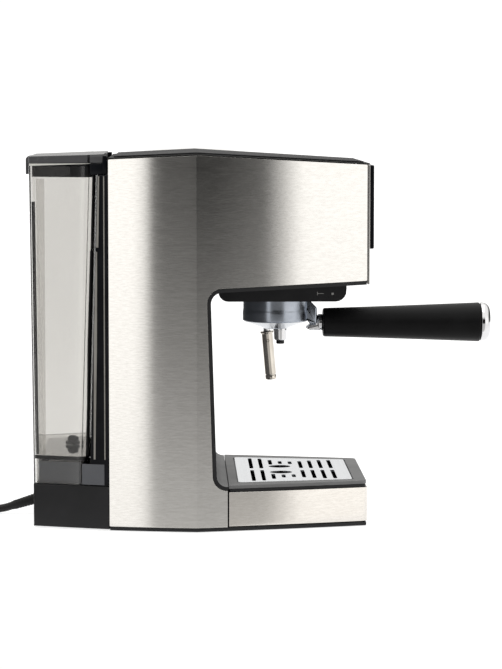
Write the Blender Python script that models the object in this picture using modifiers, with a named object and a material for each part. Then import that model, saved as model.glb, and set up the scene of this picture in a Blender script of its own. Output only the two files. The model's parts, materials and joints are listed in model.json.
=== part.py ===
"""Pump espresso machine: a fixed housing with a removable water tank, a drip tray drawer,
a portafilter, a steam wand with its froth sleeve, a steam knob and three buttons.

The machine faces -Y and stands on Z = 0. Its right-hand side, seen by its user, is +X.
Dimensions are in millimetres and become metres where meshes are made. They are given
from the machine's own centre line, with Y = 0 a little in front of the column; the
empty "machine_frame" then moves everything so that Y = 0 is halfway along the machine.
"""

import math

import bmesh
import bpy
from mathutils import Matrix, Quaternion, Vector

MM = 0.001
GAP = 0.3  # air between pieces that touch

# Plan of the housing: its half-width where the sides turn, from the nose to the tail,
# and how far the sides bulge between those places
PLAN = ((-157.0, 70.0), (-17.0, 102.0), (53.3, 90.0), (113.7, 69.0))
BULGE = 0.0115  # of the length of each stretch
PLAN_STEP = 18.0
CREASE_Y = PLAN[1][0]
PANEL_REAR_Y = PLAN[2][0]
BLOCK_REAR_Y = PLAN[3][0]
SHEET = 1.2  # thickness of the steel side panels

# Heights of the housing
FOOT_HEIGHT = 2.9
BASE_LOW, BASE_HIGH = 3.2, 6.3
PANEL_LOW = BASE_HIGH + GAP
RIDGE_Z = 302.2  # top edge of the side panels at the crease
REAR_TOP_Z = 298.9
FRONT_TOP_Z = 294.2
PANEL_FRONT_Y = -155.5
SEAM_Y = -42.7  # where the side panels end and the drip tray starts
SHELF_Z = 33.0

# Cup space: corners of the opening in the side panels
HEAD_FRONT_Z = 200.4
CUP_TOP_CORNER = (-25.1, 195.55, 12.0)
CUP_LOW_CORNER = (-30.1, SHELF_Z, 12.0)
LINER = 2.9  # thickness of the black moulding in the opening

# Top
COVER_THICK = 1.0
COVER_FRONT_Y = -157.6
WARMER_INSET = 9.0
WARMER_THICK = 1.0

# Front
FRONT_PANEL_Y = (-157.6, -155.8)
CONTROL_Y = (-162.0, -158.2)
CONTROL_Z = (225.5, 293.6)
CONTROL_HALF = 57.0
BUTTON_RADIUS = 10.0
BUTTON_Z = 256.0
BUTTON_NAMES = (("power_button", -34.0), ("brew_button", 0.0), ("steam_button", 34.0))
LAMP_Z = 280.0
LAMP_XS = (-17.0, 17.0)

# Brew group, all round the portafilter's vertical axis
GROUP_Y = -83.9
COLLAR_Y = (-140.2, -35.3)
COLLAR_LOW = 183.5
COLLAR_HALF = 50.0
COLLAR_CORNER = 9.0
HEAD_RADIUS = 34.0
CUP_RADIUS = 27.6
CUP_RIM_Z = 190.6
CUP_WALL = 1.9
EAR_RADIUS = 31.0
EAR_HALF = 7.5

# Portafilter handle, round a horizontal axis
HANDLE_Z = 161.0
GRIP_Y = (-255.1, -123.3)
GRIP_RADII = (16.45, 12.05)
CAP_END_Y = -263.6

# Steam wand on the right-hand side
WAND_X = 60.0
BALL_Y, BALL_Z, BALL_RADIUS = -75.3, 187.5, 5.5
WAND_LEAN = 0.088  # millimetres forward for each millimetre down
WAND_RADIUS = 3.0
SLEEVE_Z = (106.8, 148.7)
SLEEVE_RADIUS = 4.9

# Steam knob on the right-hand facet of the head
KNOB_Y, KNOB_Z = -120.0, 250.0
KNOB_RADIUS, KNOB_DEPTH = 18.0, 17.5
SPINDLE_RADIUS = 3.0

# Drip tray drawer
TRAY_FRONT_Y = -156.4
BAND_Z = (7.2, 34.0)
FRAME_Z = (34.3, 37.0)
GRILLE_Y = (-144.7, -51.0)
GRILLE_HALF = (60.0, 77.0)
GRILLE_Z = (35.5, 37.1)
SLOT_WIDTH = 3.2
SLOT_PITCH = 8.4
SLOT_FIRST_Y = -64.0
# Inner and outer end of the slots of each column, counted from the column of the tray
SLOT_SPANS = ((5, 69), (5, 67), (28, 58), (32, 50), (31, 48), (6, 50), (5, 54), (5, 56), (5, 56))
LENS_CENTRE, LENS_HALF = (17.5, -88.0), (8.2, 9.3)

# Water tank
TANK_LOW, TANK_RIM = 36.4, 293.3
TANK_FRONT_Y = (71.0, 66.0)  # at the bottom and at the rim
TANK_REAR_Y = (113.9, 117.9)
TANK_WALL = 2.2
TANK_FLOOR = (56.0, 59.0)
TANK_CORNER = 7.0
VALVE_Y = 86.0
BLOCK_HIGH = 36.0
LID_Z = (295.5, 300.7)
LID_FRONT_Y, LID_REAR_Y = 55.5, 118.4
LID_NECK_HALF = 79.3  # half-width of the lid between the tank's hinge ears
LID_AXIS = (64.0, 297.0)
TAB_Y = 124.2
LIP_LOW_Z = 281.0

# Mains lead
CORD_RADIUS = 3.3
EXIT = Vector((5.0, BLOCK_REAR_Y + GAP, 13.5))
GLAND_AXIS = Vector((0.0, 0.958, -0.287))
GLAND_LENGTH = 24.0
COIL_CENTRE = (-44.0, 203.0)
TURN_RADII = (34.7, 41.3)
COIL_LOW = 0.2
PLUG_START = Vector((33.0, 176.0, 18.2))
PLUG_RADIUS = 17.9
# The lead from the strain relief to the coil, and from the coil to the plug
LEAD_ROUTE = (
    (5.0, 137.3, 6.53),
    (5.0, 144.0, 4.6),
    (5.2, 152.0, 3.6),
    (4.6, 160.0, 3.5),
    (2.2, 168.0, 3.5),
    (-0.6, 176.5, 3.5),
)
TAIL_ROUTE = (
    (-19.5, 161.9, 10.6),
    (-10.0, 162.2, 10.8),
    (0.0, 163.4, 11.4),
    (9.0, 167.2, 13.2),
    (17.0, 172.0, 15.8),
    (25.0, 175.5, 17.8),
    (32.4, 176.0, 18.2),
)

FINISHES = {  # colour, roughness, metallic
    "brushed_steel": ((0.62, 0.61, 0.58), 0.32, 1.0),
    "black_plastic": ((0.018, 0.018, 0.020), 0.42, 0.0),
    "dark_grey_plastic": ((0.16, 0.16, 0.16), 0.45, 0.0),
    "gloss_black": ((0.010, 0.010, 0.012), 0.15, 0.0),
    "smoked_clear": ((0.55, 0.54, 0.52), 0.05, 0.0),
    "cast_aluminium": ((0.55, 0.57, 0.60), 0.30, 1.0),
    "chrome": ((0.80, 0.80, 0.80), 0.08, 1.0),
    "grille_steel": ((0.80, 0.82, 0.86), 0.25, 1.0),
    "brass": ((0.70, 0.50, 0.22), 0.30, 1.0),
    "rubber": ((0.020, 0.020, 0.020), 0.70, 0.0),
    "silicone": ((0.75, 0.75, 0.72), 0.50, 0.0),
    "board_green": ((0.03, 0.20, 0.08), 0.50, 0.0),
    "lamp_lens": ((0.80, 0.20, 0.08), 0.20, 0.0),
}

VIEWS = {  # how an outline is turned, and the way it is thick
    "plan": (Matrix.Identity(4), Vector((0, 0, 1))),
    "side": (Matrix(((0, 0, 1, 0), (1, 0, 0, 0), (0, 1, 0, 0), (0, 0, 0, 1))), Vector((1, 0, 0))),
    "front": (Matrix(((1, 0, 0, 0), (0, 0, -1, 0), (0, 1, 0, 0), (0, 0, 0, 1))), Vector((0, 1, 0))),
}


# ---------------------------------------------------------------- scene and objects


def clear_scene():
    for obj in list(bpy.data.objects):
        bpy.data.objects.remove(obj)


def new_collection(name):
    collection = bpy.data.collections.new(name)
    bpy.context.scene.collection.children.link(collection)
    return collection


def new_empty(name, place, parent=None):
    """An empty at a place in the parent's frame; empties are moved but never turned."""
    empty = bpy.data.objects.new(name, None)
    empty.empty_display_size = 10 * MM
    empty.location = Vector(place) * MM
    empty.parent = parent
    PARTS.objects.link(empty)
    return empty


def origin_of(holder):
    """An empty's place in the world."""
    place = holder.location.copy()
    while holder.parent:
        holder = holder.parent
        place += holder.location
    return place


def joint_empty(name, place, parent=None):
    """An empty on a joint's axis, at a place given in the machine's own frame."""
    parent = parent or FRAME
    here = Vector(place) - (origin_of(parent) - FRAME.location) / MM
    return new_empty(name, here, parent)


def material_for(part_name, finish):
    colour, roughness, metallic = FINISHES[finish]
    material = bpy.data.materials.new(part_name + "_" + finish)
    material.use_nodes = True
    shader = material.node_tree.nodes["Principled BSDF"]
    shader.inputs["Base Color"].default_value = (*colour, 1.0)
    shader.inputs["Roughness"].default_value = roughness
    shader.inputs["Metallic"].default_value = metallic
    if finish == "smoked_clear":
        shader.inputs["Transmission Weight"].default_value = 0.85
    return material


def hold(obj, holder):
    """Parent an object whose mesh is in the machine's own frame."""
    obj.parent = holder
    obj.location = FRAME.location - origin_of(holder)


def part(name, mesh, finish, holder=None):
    """A sub-part from a mesh in the machine's own frame."""
    mesh.name = name
    mesh.shade_smooth()
    mesh.set_sharp_from_angle(angle=math.radians(32))
    mesh.materials.clear()
    mesh.materials.append(material_for(name, finish))
    obj = bpy.data.objects.new(name, mesh)
    PARTS.objects.link(obj)
    hold(obj, holder or FRAME)
    return obj


def combine(obj, operation, name, mesh):
    """Cut, join or trim a part with a second solid, which is kept as a wire guide."""
    guide = bpy.data.objects.new(obj.name + "_" + name, mesh)
    CUTTERS.objects.link(guide)
    hold(guide, FRAME)
    guide.hide_render = True
    guide.display_type = "WIRE"
    boolean = obj.modifiers.new(name, "BOOLEAN")
    boolean.operation = operation
    boolean.object = guide
    boolean.solver = "EXACT"


def cut(obj, name, mesh):
    combine(obj, "DIFFERENCE", name, mesh)


def join(obj, name, mesh):
    combine(obj, "UNION", name, mesh)


def trim(obj, name, mesh):
    combine(obj, "INTERSECT", name, mesh)


# ---------------------------------------------------------------- mesh making


def welded(mesh):
    bm = bmesh.new()
    bm.from_mesh(mesh)
    bmesh.ops.remove_doubles(bm, verts=bm.verts, dist=0.002 * MM)
    bmesh.ops.recalc_face_normals(bm, faces=bm.faces)
    bm.to_mesh(mesh)
    bm.free()
    return mesh


def baked(data, add_modifier=None):
    """The mesh that a curve, or a mesh with one modifier, comes out as."""
    maker = bpy.data.objects.new("maker", data)
    bpy.context.scene.collection.objects.link(maker)
    if add_modifier:
        add_modifier(maker)
    graph = bpy.context.evaluated_depsgraph_get()
    mesh = bpy.data.meshes.new_from_object(maker.evaluated_get(graph), depsgraph=graph)
    bpy.data.objects.remove(maker)
    return welded(mesh)


def softened(mesh, width, segments=2):
    """The mesh with its sharp edges rounded."""

    def bevel(maker):
        modifier = maker.modifiers.new("soft_edges", "BEVEL")
        modifier.width = width * MM
        modifier.segments = segments
        modifier.limit_method = "ANGLE"
        modifier.angle_limit = math.radians(40)

    return baked(mesh, bevel)


def box(low, high, radius=0.0, segments=2):
    """A block between two corners, with its edges rounded."""
    low, high = Vector(low), Vector(high)
    bm = bmesh.new()
    bmesh.ops.create_cube(bm, size=1.0)
    bmesh.ops.scale(bm, vec=(high - low) * MM, verts=bm.verts)
    bmesh.ops.translate(bm, vec=(high + low) / 2 * MM, verts=bm.verts)
    mesh = bpy.data.meshes.new("box")
    bm.to_mesh(mesh)
    bm.free()
    if radius:
        return softened(mesh, radius, segments)
    return mesh


def outline_solid(view, low, high, *loops):
    """A flat outline, with holes where there is more than one loop, from low to high."""
    turn, thick_way = VIEWS[view]
    curve = bpy.data.curves.new("outline", "CURVE")
    curve.dimensions = "2D"
    curve.fill_mode = "BOTH"
    curve.extrude = abs(high - low) / 2 * MM
    for loop in loops:
        spline = curve.splines.new("POLY")
        spline.points.add(len(loop) - 1)
        spline.use_cyclic_u = True
        for point, (a, b) in zip(spline.points, loop):
            point.co = (a * MM, b * MM, 0.0, 1.0)
    mesh = baked(curve)
    mesh.transform(Matrix.Translation(thick_way * (low + high) / 2 * MM) @ turn)
    return mesh


def turned(profile, steps=32):
    """A profile of (radius, height) turned round Z; its outer side runs from top to bottom."""
    on_axis = profile[0][0] == 0 or profile[-1][0] == 0
    count = len(profile)
    edges = [(i, i + 1) for i in range(count - 1)]
    if not on_axis:
        edges.append((count - 1, 0))
    data = bpy.data.meshes.new("profile")
    data.from_pydata([(r * MM, 0.0, z * MM) for r, z in profile], edges, [])

    def screw(maker):
        modifier = maker.modifiers.new("turn", "SCREW")
        modifier.axis = "Z"
        modifier.angle = math.tau
        modifier.steps = steps
        modifier.render_steps = steps
        modifier.use_merge_vertices = True
        modifier.merge_threshold = 0.001 * MM

    return baked(data, screw)


def aimed(mesh, centre, direction=(0.0, 0.0, 1.0)):
    """The mesh with its Z axis turned to a direction and its origin moved to a centre."""
    turn = Vector(direction).to_track_quat("Z", "Y").to_matrix().to_4x4()
    mesh.transform(Matrix.Translation(Vector(centre) * MM) @ turn)
    return mesh


def cylinder(radius, start, end, steps=24):
    start, end = Vector(start), Vector(end)
    length = (end - start).length
    mesh = turned([(0, length), (radius, length), (radius, 0), (0, 0)], steps)
    return aimed(mesh, start, end - start)


def tube(points, radius, resolution=2):
    """A round tube along a list of points, with filled ends."""
    curve = bpy.data.curves.new("tube", "CURVE")
    curve.dimensions = "3D"
    curve.bevel_depth = radius * MM
    curve.bevel_resolution = resolution
    curve.use_fill_caps = True
    spline = curve.splines.new("POLY")
    spline.points.add(len(points) - 1)
    for point, place in zip(spline.points, points):
        point.co = (*(Vector(place) * MM), 1.0)
    return baked(curve)


def loft(sections):
    """A solid through loops of the same count, each one (height, loop), from low to high."""
    bm = bmesh.new()
    rings = [
        [bm.verts.new((x * MM, y * MM, height * MM)) for x, y in loop]
        for height, loop in sections
    ]
    count = len(rings[0])
    for low, high in zip(rings, rings[1:]):
        for i in range(count):
            j = (i + 1) % count
            bm.faces.new((low[i], low[j], high[j], high[i]))
    bm.faces.new(list(reversed(rings[0])))
    bm.faces.new(rings[-1])
    mesh = bpy.data.meshes.new("loft")
    bm.to_mesh(mesh)
    bm.free()
    return welded(mesh)


# ---------------------------------------------------------------- outlines and routes


def half_width(y):
    """Half-width of the housing's plan at y."""
    for (y0, w0), (y1, w1) in zip(PLAN, PLAN[1:]):
        if y <= y1:
            break
    share = (y - y0) / (y1 - y0)
    bulge = 4 * BULGE * (y1 - y0) * share * (1 - share) if 0 < share < 1 else 0.0
    return w0 + (w1 - w0) * share + bulge


def side_line(y_front, y_rear, inset=0.0):
    """The right-hand side of the plan, from front to rear."""
    turns = [y_front, *(y for y, _ in PLAN if y_front < y < y_rear), y_rear]
    ys = []
    for start, end in zip(turns, turns[1:]):
        count = max(1, round((end - start) / PLAN_STEP))
        ys += [start + (end - start) * k / count for k in range(count)]
    return [(half_width(y) - inset, y) for y in (*ys, y_rear)]


def plan_outline(y_front, y_rear, inset=0.0):
    right = side_line(y_front, y_rear, inset)
    return right + [(-x, y) for x, y in reversed(right)]


def rounded(corners, segments=4):
    """An outline with an arc at each corner that has a radius as its third number."""
    points = []
    for i, corner in enumerate(corners):
        here = Vector(corner[:2])
        if len(corner) == 2:
            points.append(tuple(here))
            continue
        back = (Vector(corners[i - 1][:2]) - here).normalized()
        ahead = (Vector(corners[(i + 1) % len(corners)][:2]) - here).normalized()
        half = back.angle(ahead) / 2
        reach = corner[2] / math.tan(half)
        centre = here + (back + ahead).normalized() * corner[2] / math.sin(half)
        arm = here + back * reach - centre
        sweep = math.copysign(math.pi - 2 * half, back.cross(ahead) * -1)
        for k in range(segments + 1):
            angle = sweep * k / segments
            cosine, sine = math.cos(angle), math.sin(angle)
            points.append(
                (centre.x + arm.x * cosine - arm.y * sine, centre.y + arm.x * sine + arm.y * cosine)
            )
    return points


def mirrored(corners):
    """A closed outline from its right-hand half, front to rear."""
    return list(corners) + [(-c[0], *c[1:]) for c in reversed(corners)]


def smooth_route(route, spacing):
    """Points about spacing apart on a Catmull-Rom curve through a route."""
    stops = [Vector(p) for p in route]
    ends = [2 * stops[0] - stops[1], *stops, 2 * stops[-1] - stops[-2]]
    fine = [stops[0]]
    for a, b, c, d in zip(ends, ends[1:], ends[2:], ends[3:]):
        for k in range(1, 9):
            t = k / 8
            bend = (2 * a - 5 * b + 4 * c - d) * t * t + (3 * b - a - 3 * c + d) * t**3
            fine.append((2 * b + (c - a) * t + bend) / 2)
    lengths = [0.0]
    for p, q in zip(fine, fine[1:]):
        lengths.append(lengths[-1] + (q - p).length)
    count = max(2, round(lengths[-1] / spacing))
    points = []
    for k in range(count + 1):
        target = lengths[-1] * k / count
        i = max(j for j, length in enumerate(lengths) if length <= target + 1e-9)
        i = min(i, len(fine) - 2)
        share = (target - lengths[i]) / (lengths[i + 1] - lengths[i])
        points.append(fine[i].lerp(fine[i + 1], share))
    return points


def underside(y):
    """Height of the liner's face under the head."""
    (y0, z0), (y1, z1) = (PANEL_FRONT_Y, HEAD_FRONT_Z), CUP_TOP_CORNER[:2]
    return z0 + (z1 - z0) * (y - y0) / (y1 - y0) - GAP - LINER


def crown(y, raise_by=0.0):
    """Height of the housing's top edge, which rises from both ends to the crease."""
    if y < CREASE_Y:
        share = (y - PANEL_FRONT_Y) / (CREASE_Y - PANEL_FRONT_Y)
        return FRONT_TOP_Z + (RIDGE_Z - FRONT_TOP_Z) * share + raise_by
    share = (y - CREASE_Y) / (PANEL_REAR_Y - CREASE_Y)
    return RIDGE_Z + (REAR_TOP_Z - RIDGE_Z) * share + raise_by


# ---------------------------------------------------------------- housing


def add_side_panels():
    """Brushed steel sheets with a crease in plan and a C outline from the side."""
    profile = rounded(
        [
            (PANEL_FRONT_Y, FRONT_TOP_Z),
            (PANEL_FRONT_Y, HEAD_FRONT_Z),
            CUP_TOP_CORNER,
            CUP_LOW_CORNER,
            (SEAM_Y, SHELF_Z),
            (SEAM_Y, PANEL_LOW),
            (PANEL_REAR_Y, PANEL_LOW),
            (PANEL_REAR_Y, REAR_TOP_Z),
            (CREASE_Y, RIDGE_Z),
        ],
        segments=6,
    )
    outer = side_line(PANEL_FRONT_Y, PANEL_REAR_Y)
    strip = outer + [(x - SHEET, y) for x, y in reversed(outer)]
    knob_axis, knob_root = knob_frame()
    for name, side in (("left_side_panel", -1), ("right_side_panel", 1)):
        sheet = outline_solid("plan", 0.0, 310.0, [(side * x, y) for x, y in strip])
        panel = part(name, sheet, "brushed_steel")
        trim(panel, "profile", outline_solid("side", side * 20.0, side * 120.0, profile))
        if side > 0:
            hole = cylinder(5.2, knob_root - knob_axis * 6, knob_root + knob_axis * 6)
            cut(panel, "spindle_hole", hole)


def add_base():
    """Floor pan with a bulkhead behind the drip tray, feet, and the block under the tank."""
    pan = plan_outline(PANEL_FRONT_Y, PANEL_REAR_Y - GAP)
    plate = part("base_plate", outline_solid("plan", BASE_LOW, BASE_HIGH, pan), "black_plastic")
    bulkhead = box((-92.0, SEAM_Y + GAP, BASE_LOW + 1), (92.0, SEAM_Y + 3.3, SHELF_Z - GAP))
    join(plate, "bulkhead", bulkhead)

    feet = ((-72.0, 38.0), (72.0, 38.0), (-55.0, -135.0), (55.0, -135.0))
    for number, (x, y) in enumerate(feet, start=1):
        profile = [(0, FOOT_HEIGHT), (7.5, FOOT_HEIGHT), (7.0, 0.6), (6.2, 0.0), (0, 0.0)]
        part(f"foot_{number}", aimed(turned(profile, 16), (x, y, 0.0)), "rubber")

    start = PANEL_REAR_Y + GAP
    solid = outline_solid("plan", 3.7, BLOCK_HIGH, plan_outline(start, BLOCK_REAR_Y))
    block = part("rear_base_block", softened(solid, 1.5), "black_plastic")
    cut(block, "hollow", box((-62.0, start - 3, 7.0), (62.0, BLOCK_REAR_Y - 4, BLOCK_HIGH - 3)))
    cut(block, "hose_hole", cylinder(3.6, (0, VALVE_Y, 25.0), (0, VALVE_Y, 40.0)))


def add_cup_space_liner():
    """One black moulding: underside of the head, front of the column and the low fillet."""
    front = PANEL_FRONT_Y + GAP
    top_y, top_z, top_radius = CUP_TOP_CORNER
    low_y, low_z, low_radius = CUP_LOW_CORNER
    near, far = GAP, GAP + LINER
    band = rounded(
        [
            (front, HEAD_FRONT_Z - near),
            (top_y - near, top_z - near, top_radius - near),
            (low_y - near, low_z + near, low_radius - near),
            (SEAM_Y + GAP, low_z + near),
            (SEAM_Y + GAP, low_z + far),
            (low_y - far, low_z + far, low_radius - far),
            (top_y - far, top_z - far, top_radius - far),
            (front, HEAD_FRONT_Z - far),
        ],
        segments=6,
    )
    liner = part("cup_space_liner", outline_solid("side", -110.0, 110.0, band), "black_plastic")
    outline = plan_outline(PANEL_FRONT_Y - 10, PANEL_REAR_Y, inset=0.15)
    trim(liner, "plan", outline_solid("plan", 20.0, 210.0, outline))
    cut(liner, "group_hole", cylinder(HEAD_RADIUS + 1, (0, GROUP_Y, 180), (0, GROUP_Y, 210), 40))


def crowned_slab(y_front, y_rear, low, high, inset):
    """A slab that follows the crown of the top, cut to the plan."""
    ys = (y_front, CREASE_Y, y_rear)
    profile = [(y, crown(y, low)) for y in ys] + [(y, crown(y, high)) for y in reversed(ys)]
    return outline_solid("side", -110.0, 110.0, profile), plan_outline(y_front, y_rear, inset)


def add_top():
    low, high = GAP, GAP + COVER_THICK
    slab, outline = crowned_slab(COVER_FRONT_Y, PANEL_REAR_Y, low, high, 0.0)
    cover = part("top_cover", slab, "black_plastic")
    trim(cover, "plan", outline_solid("plan", 280.0, 320.0, outline))
    flange_half = half_width(PANEL_REAR_Y) - SHEET - 1.0
    flange = box(
        (-flange_half, PANEL_REAR_Y - 2.4, 287.0),
        (flange_half, PANEL_REAR_Y - 0.4, REAR_TOP_Z + 0.8),
    )
    join(cover, "rear_flange", flange)

    low = high + GAP
    slab, outline = crowned_slab(-153.0, 49.0, low, low + WARMER_THICK, WARMER_INSET)
    warmer = part("warming_plate", slab, "black_plastic")
    trim(warmer, "plan", outline_solid("plan", 280.0, 320.0, outline))


def add_rear_cover():
    """Black wall behind the column; its face leans like the tank's front."""
    start, top = PANEL_REAR_Y + GAP, 286.5
    low_y, high_y = TANK_FRONT_Y[0] - 1.0, TANK_FRONT_Y[1] - 1.0
    profile = [(start, BLOCK_HIGH + GAP), (low_y, BLOCK_HIGH + GAP), (high_y, top), (start, top)]
    cover = part("rear_cover", outline_solid("side", -95.0, 95.0, profile), "black_plastic")
    trim(cover, "plan", outline_solid("plan", 30.0, 290.0, plan_outline(start - 2, low_y + 2)))
    cut(cover, "hollow", box((-80.0, start - 3, BLOCK_HIGH + 4), (80.0, high_y - 3.0, top - 3.5)))


def add_front():
    """Steel front with the black control plate, its lamps and its three buttons."""
    y0, y1 = FRONT_PANEL_Y
    half = half_width(y1)
    steel = part(
        "front_panel",
        box((-half, y0, HEAD_FRONT_Z - 3.0), (half, y1, FRONT_TOP_Z)),
        "brushed_steel",
    )
    y0, y1 = CONTROL_Y
    slab = box((-CONTROL_HALF, y0, CONTROL_Z[0]), (CONTROL_HALF, y1, CONTROL_Z[1]), 1.0)
    plate = part("control_plate", slab, "gloss_black")
    for name, x in BUTTON_NAMES:
        start, end = (x, y0 - 3, BUTTON_Z), (x, FRONT_PANEL_Y[1] + 3, BUTTON_Z)
        cut(plate, name + "_hole", cylinder(BUTTON_RADIUS + 0.5, start, end, 20))
        cut(steel, name + "_hole", cylinder(BUTTON_RADIUS + 0.5, start, end, 20))
        profile = [(0, 7.6), (8.6, 7.6), (9.7, 7.2), (BUTTON_RADIUS, 6.4), (BUTTON_RADIUS, 0), (0, 0)]
        empty = joint_empty(name + "_axis", (x, y0, BUTTON_Z))
        mesh = aimed(turned(profile, 20), (x, y0 + 8.0, BUTTON_Z), (0, -1, 0))
        part(name, mesh, "gloss_black", empty)
    for number, x in enumerate(LAMP_XS, start=1):
        cut(plate, f"lamp_hole_{number}", cylinder(2.9, (x, y0 - 2, LAMP_Z), (x, y1 + 2, LAMP_Z), 12))
        lamp = cylinder(2.5, (x, y1 - 0.1, LAMP_Z), (x, y0 - 0.2, LAMP_Z), 12)
        part(f"indicator_light_{number}", lamp, "lamp_lens")
    board = box((-50.0, -150.0, 232.0), (50.0, -148.4, 286.0))
    part("control_board", board, "board_green")


# ---------------------------------------------------------------- brew group


def add_group_collar():
    front, rear = COLLAR_Y
    profile = rounded(
        [
            (front, underside(front) - GAP),
            (front, COLLAR_LOW, COLLAR_CORNER),
            (rear, COLLAR_LOW, COLLAR_CORNER - 1),
            (rear, underside(rear) - 1.2),
        ],
        segments=5,
    )
    solid = outline_solid("side", -COLLAR_HALF, COLLAR_HALF, profile)
    collar = part("group_collar", solid, "black_plastic")
    bore = cylinder(HEAD_RADIUS + 1, (0, GROUP_Y, 180), (0, GROUP_Y, 200), 40)
    cut(collar, "bore", bore)


def add_brew_group():
    """Bayonet ring and water plate over the portafilter, with gasket and shower screen."""
    lip_low, lip_high = 184.3, 187.3
    groove_high, seat_high, head_high = 192.3, 197.6, 211.7
    head = [
        (0, head_high),
        (HEAD_RADIUS, head_high),
        (HEAD_RADIUS, lip_low),
        (30.0, lip_low),
        (30.0, lip_high),
        (32.4, lip_high),
        (32.4, groove_high),
        (30.2, groove_high),
        (30.2, seat_high),
        (0, seat_high),
    ]
    centre = (0, GROUP_Y, 0)
    ring = part("brew_head", aimed(turned(head, 32), centre), "cast_aluminium")
    reach, half = EAR_RADIUS + 0.9, EAR_HALF + 1.0
    notch = box((-reach, -half, lip_low - 2), (reach, half, lip_high + 1))
    turn = Matrix.Rotation(math.radians(-45), 4, "Z")
    notch.transform(Matrix.Translation(Vector(centre) * MM) @ turn)
    cut(ring, "entry_notches", notch)

    gasket = [(29.8, 197.3), (29.8, 192.0), (24.8, 192.0), (24.8, 197.3)]
    part("head_gasket", aimed(turned(gasket, 24), centre), "rubber")
    screen = [(24.4, 197.3), (24.4, 190.4), (2.7, 190.4), (2.7, 191.9), (22.6, 191.9), (22.6, 197.3)]
    part("shower_screen", aimed(turned(screen, 24), centre), "grille_steel")
    screw = [(0, 197.3), (2.2, 197.3), (2.2, 190.1), (4.4, 190.1), (4.0, 188.3), (0, 188.3)]
    part("shower_screw", aimed(turned(screw, 12), centre), "chrome")

    low = head_high + GAP
    boiler = [
        (0, 260.0),
        (28.0, 260.0),
        (33.0, 256.0),
        (33.0, low + 6),
        (37.0, low + 6),
        (37.0, low),
        (0, low),
    ]
    part("boiler", aimed(turned(boiler, 24), centre), "cast_aluminium")
    cap = [(0, 268.0), (4.0, 268.0), (4.0, 264.5), (8.0, 264.5), (8.0, 260.3), (0, 260.3)]
    part("thermostat", aimed(turned(cap, 14), (12.0, GROUP_Y, 0)), "brass")


def add_portafilter():
    axis = joint_empty("portafilter_axis", (0, GROUP_Y, CUP_RIM_Z))
    centre = (0, GROUP_Y, 0)
    inner = CUP_RADIUS - CUP_WALL
    cup = [
        (CUP_RADIUS, CUP_RIM_Z),
        (CUP_RADIUS, 165.5),
        (26.4, 163.6),
        (11.5, 158.4),
        (8.6, 156.2),
        (3.2, 156.2),
        (3.2, 161.2),
        (inner - 2.5, 166.4),
        (inner, 168.4),
        (inner, CUP_RIM_Z),
    ]
    body = part("portafilter_cup", aimed(turned(cup, 32), centre), "cast_aluminium", axis)
    ears = box(
        (-EAR_RADIUS, GROUP_Y - EAR_HALF, 188.0),
        (EAR_RADIUS, GROUP_Y + EAR_HALF, CUP_RIM_Z - 0.2),
        0.6,
        1,
    )
    join(body, "ears", ears)
    arm = box((-9.5, -117.0, 156.5), (9.5, GROUP_Y - 22.0, 182.5), 3.5, 3)
    join(body, "arm", arm)
    bowl = [
        (0, CUP_RIM_Z + 3),
        (inner, CUP_RIM_Z + 3),
        (inner, 168.4),
        (inner - 2.5, 166.4),
        (3.2, 161.2),
        (0, 161.2),
    ]
    cut(body, "bowl", aimed(turned(bowl, 32), centre))

    basket = [
        (27.3, 191.7),
        (27.3, 190.9),
        (25.4, 190.9),
        (25.4, 171.0),
        (23.8, 169.0),
        (0, 169.0),
        (0, 169.7),
        (23.2, 169.7),
        (24.7, 171.4),
        (24.7, 191.7),
    ]
    part("filter_basket", aimed(turned_shell(basket, 24), centre), "grille_steel", axis)
    spout = [(5.25, 155.9), (5.25, 147.0), (4.8, 146.2), (2.9, 146.2), (2.9, 155.9)]
    part("spout", aimed(turned(spout, 16), centre), "chrome", axis)
    outlet = [(3.3, 145.9), (3.3, 143.6), (2.9, 143.1), (1.8, 143.1), (1.8, 145.9)]
    part("spout_outlet", aimed(turned(outlet, 12), centre), "black_plastic", axis)
    add_handle(axis)


def turned_shell(profile, steps):
    """A turned piece whose profile meets the axis twice in the middle of its run."""
    split = next(i for i, (r, _) in enumerate(profile) if r == 0)
    outer, inner = profile[: split + 1], profile[split + 1 :]
    return turned(list(inner) + list(outer), steps)


def add_handle(axis):
    """Chrome ferrule, flared black grip and domed chrome cap along -Y."""
    rear, front = GRIP_Y[1], GRIP_Y[0]
    length = rear - front
    ferrule = [(0, 6.0), (6.6, 6.0), (7.0, 5.2), (7.0, 2.4), (6.0, 1.2), (6.0, 0), (0, 0)]
    start = (0, -117.3, HANDLE_Z)
    part("ferrule", aimed(turned(ferrule, 18), start, (0, -1, 0)), "chrome", axis)

    wide, narrow = GRIP_RADII
    grip = [(0, length), (wide - 0.6, length), (wide, length - 0.8)]
    for share in (0.75, 0.5, 0.25):
        grip.append((narrow + (wide - narrow) * share**1.15, length * share))
    grip += [(narrow, 1.2), (narrow - 0.8, 0.3), (narrow - 2.0, 0), (0, 0)]
    part("grip", aimed(turned(grip, 24), (0, rear, HANDLE_Z), (0, -1, 0)), "black_plastic", axis)

    depth = front - GAP - CAP_END_Y
    cap = [
        (0, depth - 1.6),
        (9.5, depth - 1.6),
        (10.3, depth),
        (12.2, depth - 0.4),
        (14.6, depth - 2.0),
        (16.0, depth - 4.4),
        (wide, depth - 7.0),
        (wide, 0),
        (0, 0),
    ]
    start = (0, front - GAP, HANDLE_Z)
    part("grip_cap", aimed(turned(cap, 24), start, (0, -1, 0)), "chrome", axis)


# ---------------------------------------------------------------- steam side


def knob_frame():
    """The steam knob's axis, square to the right-hand facet, and its root on the steel."""
    (y0, w0), (y1, w1) = PLAN[0], PLAN[1]
    axis = Vector((y1 - y0, w0 - w1, 0.0)).normalized()
    root = Vector((half_width(KNOB_Y), KNOB_Y, KNOB_Z))
    return axis, root


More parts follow.
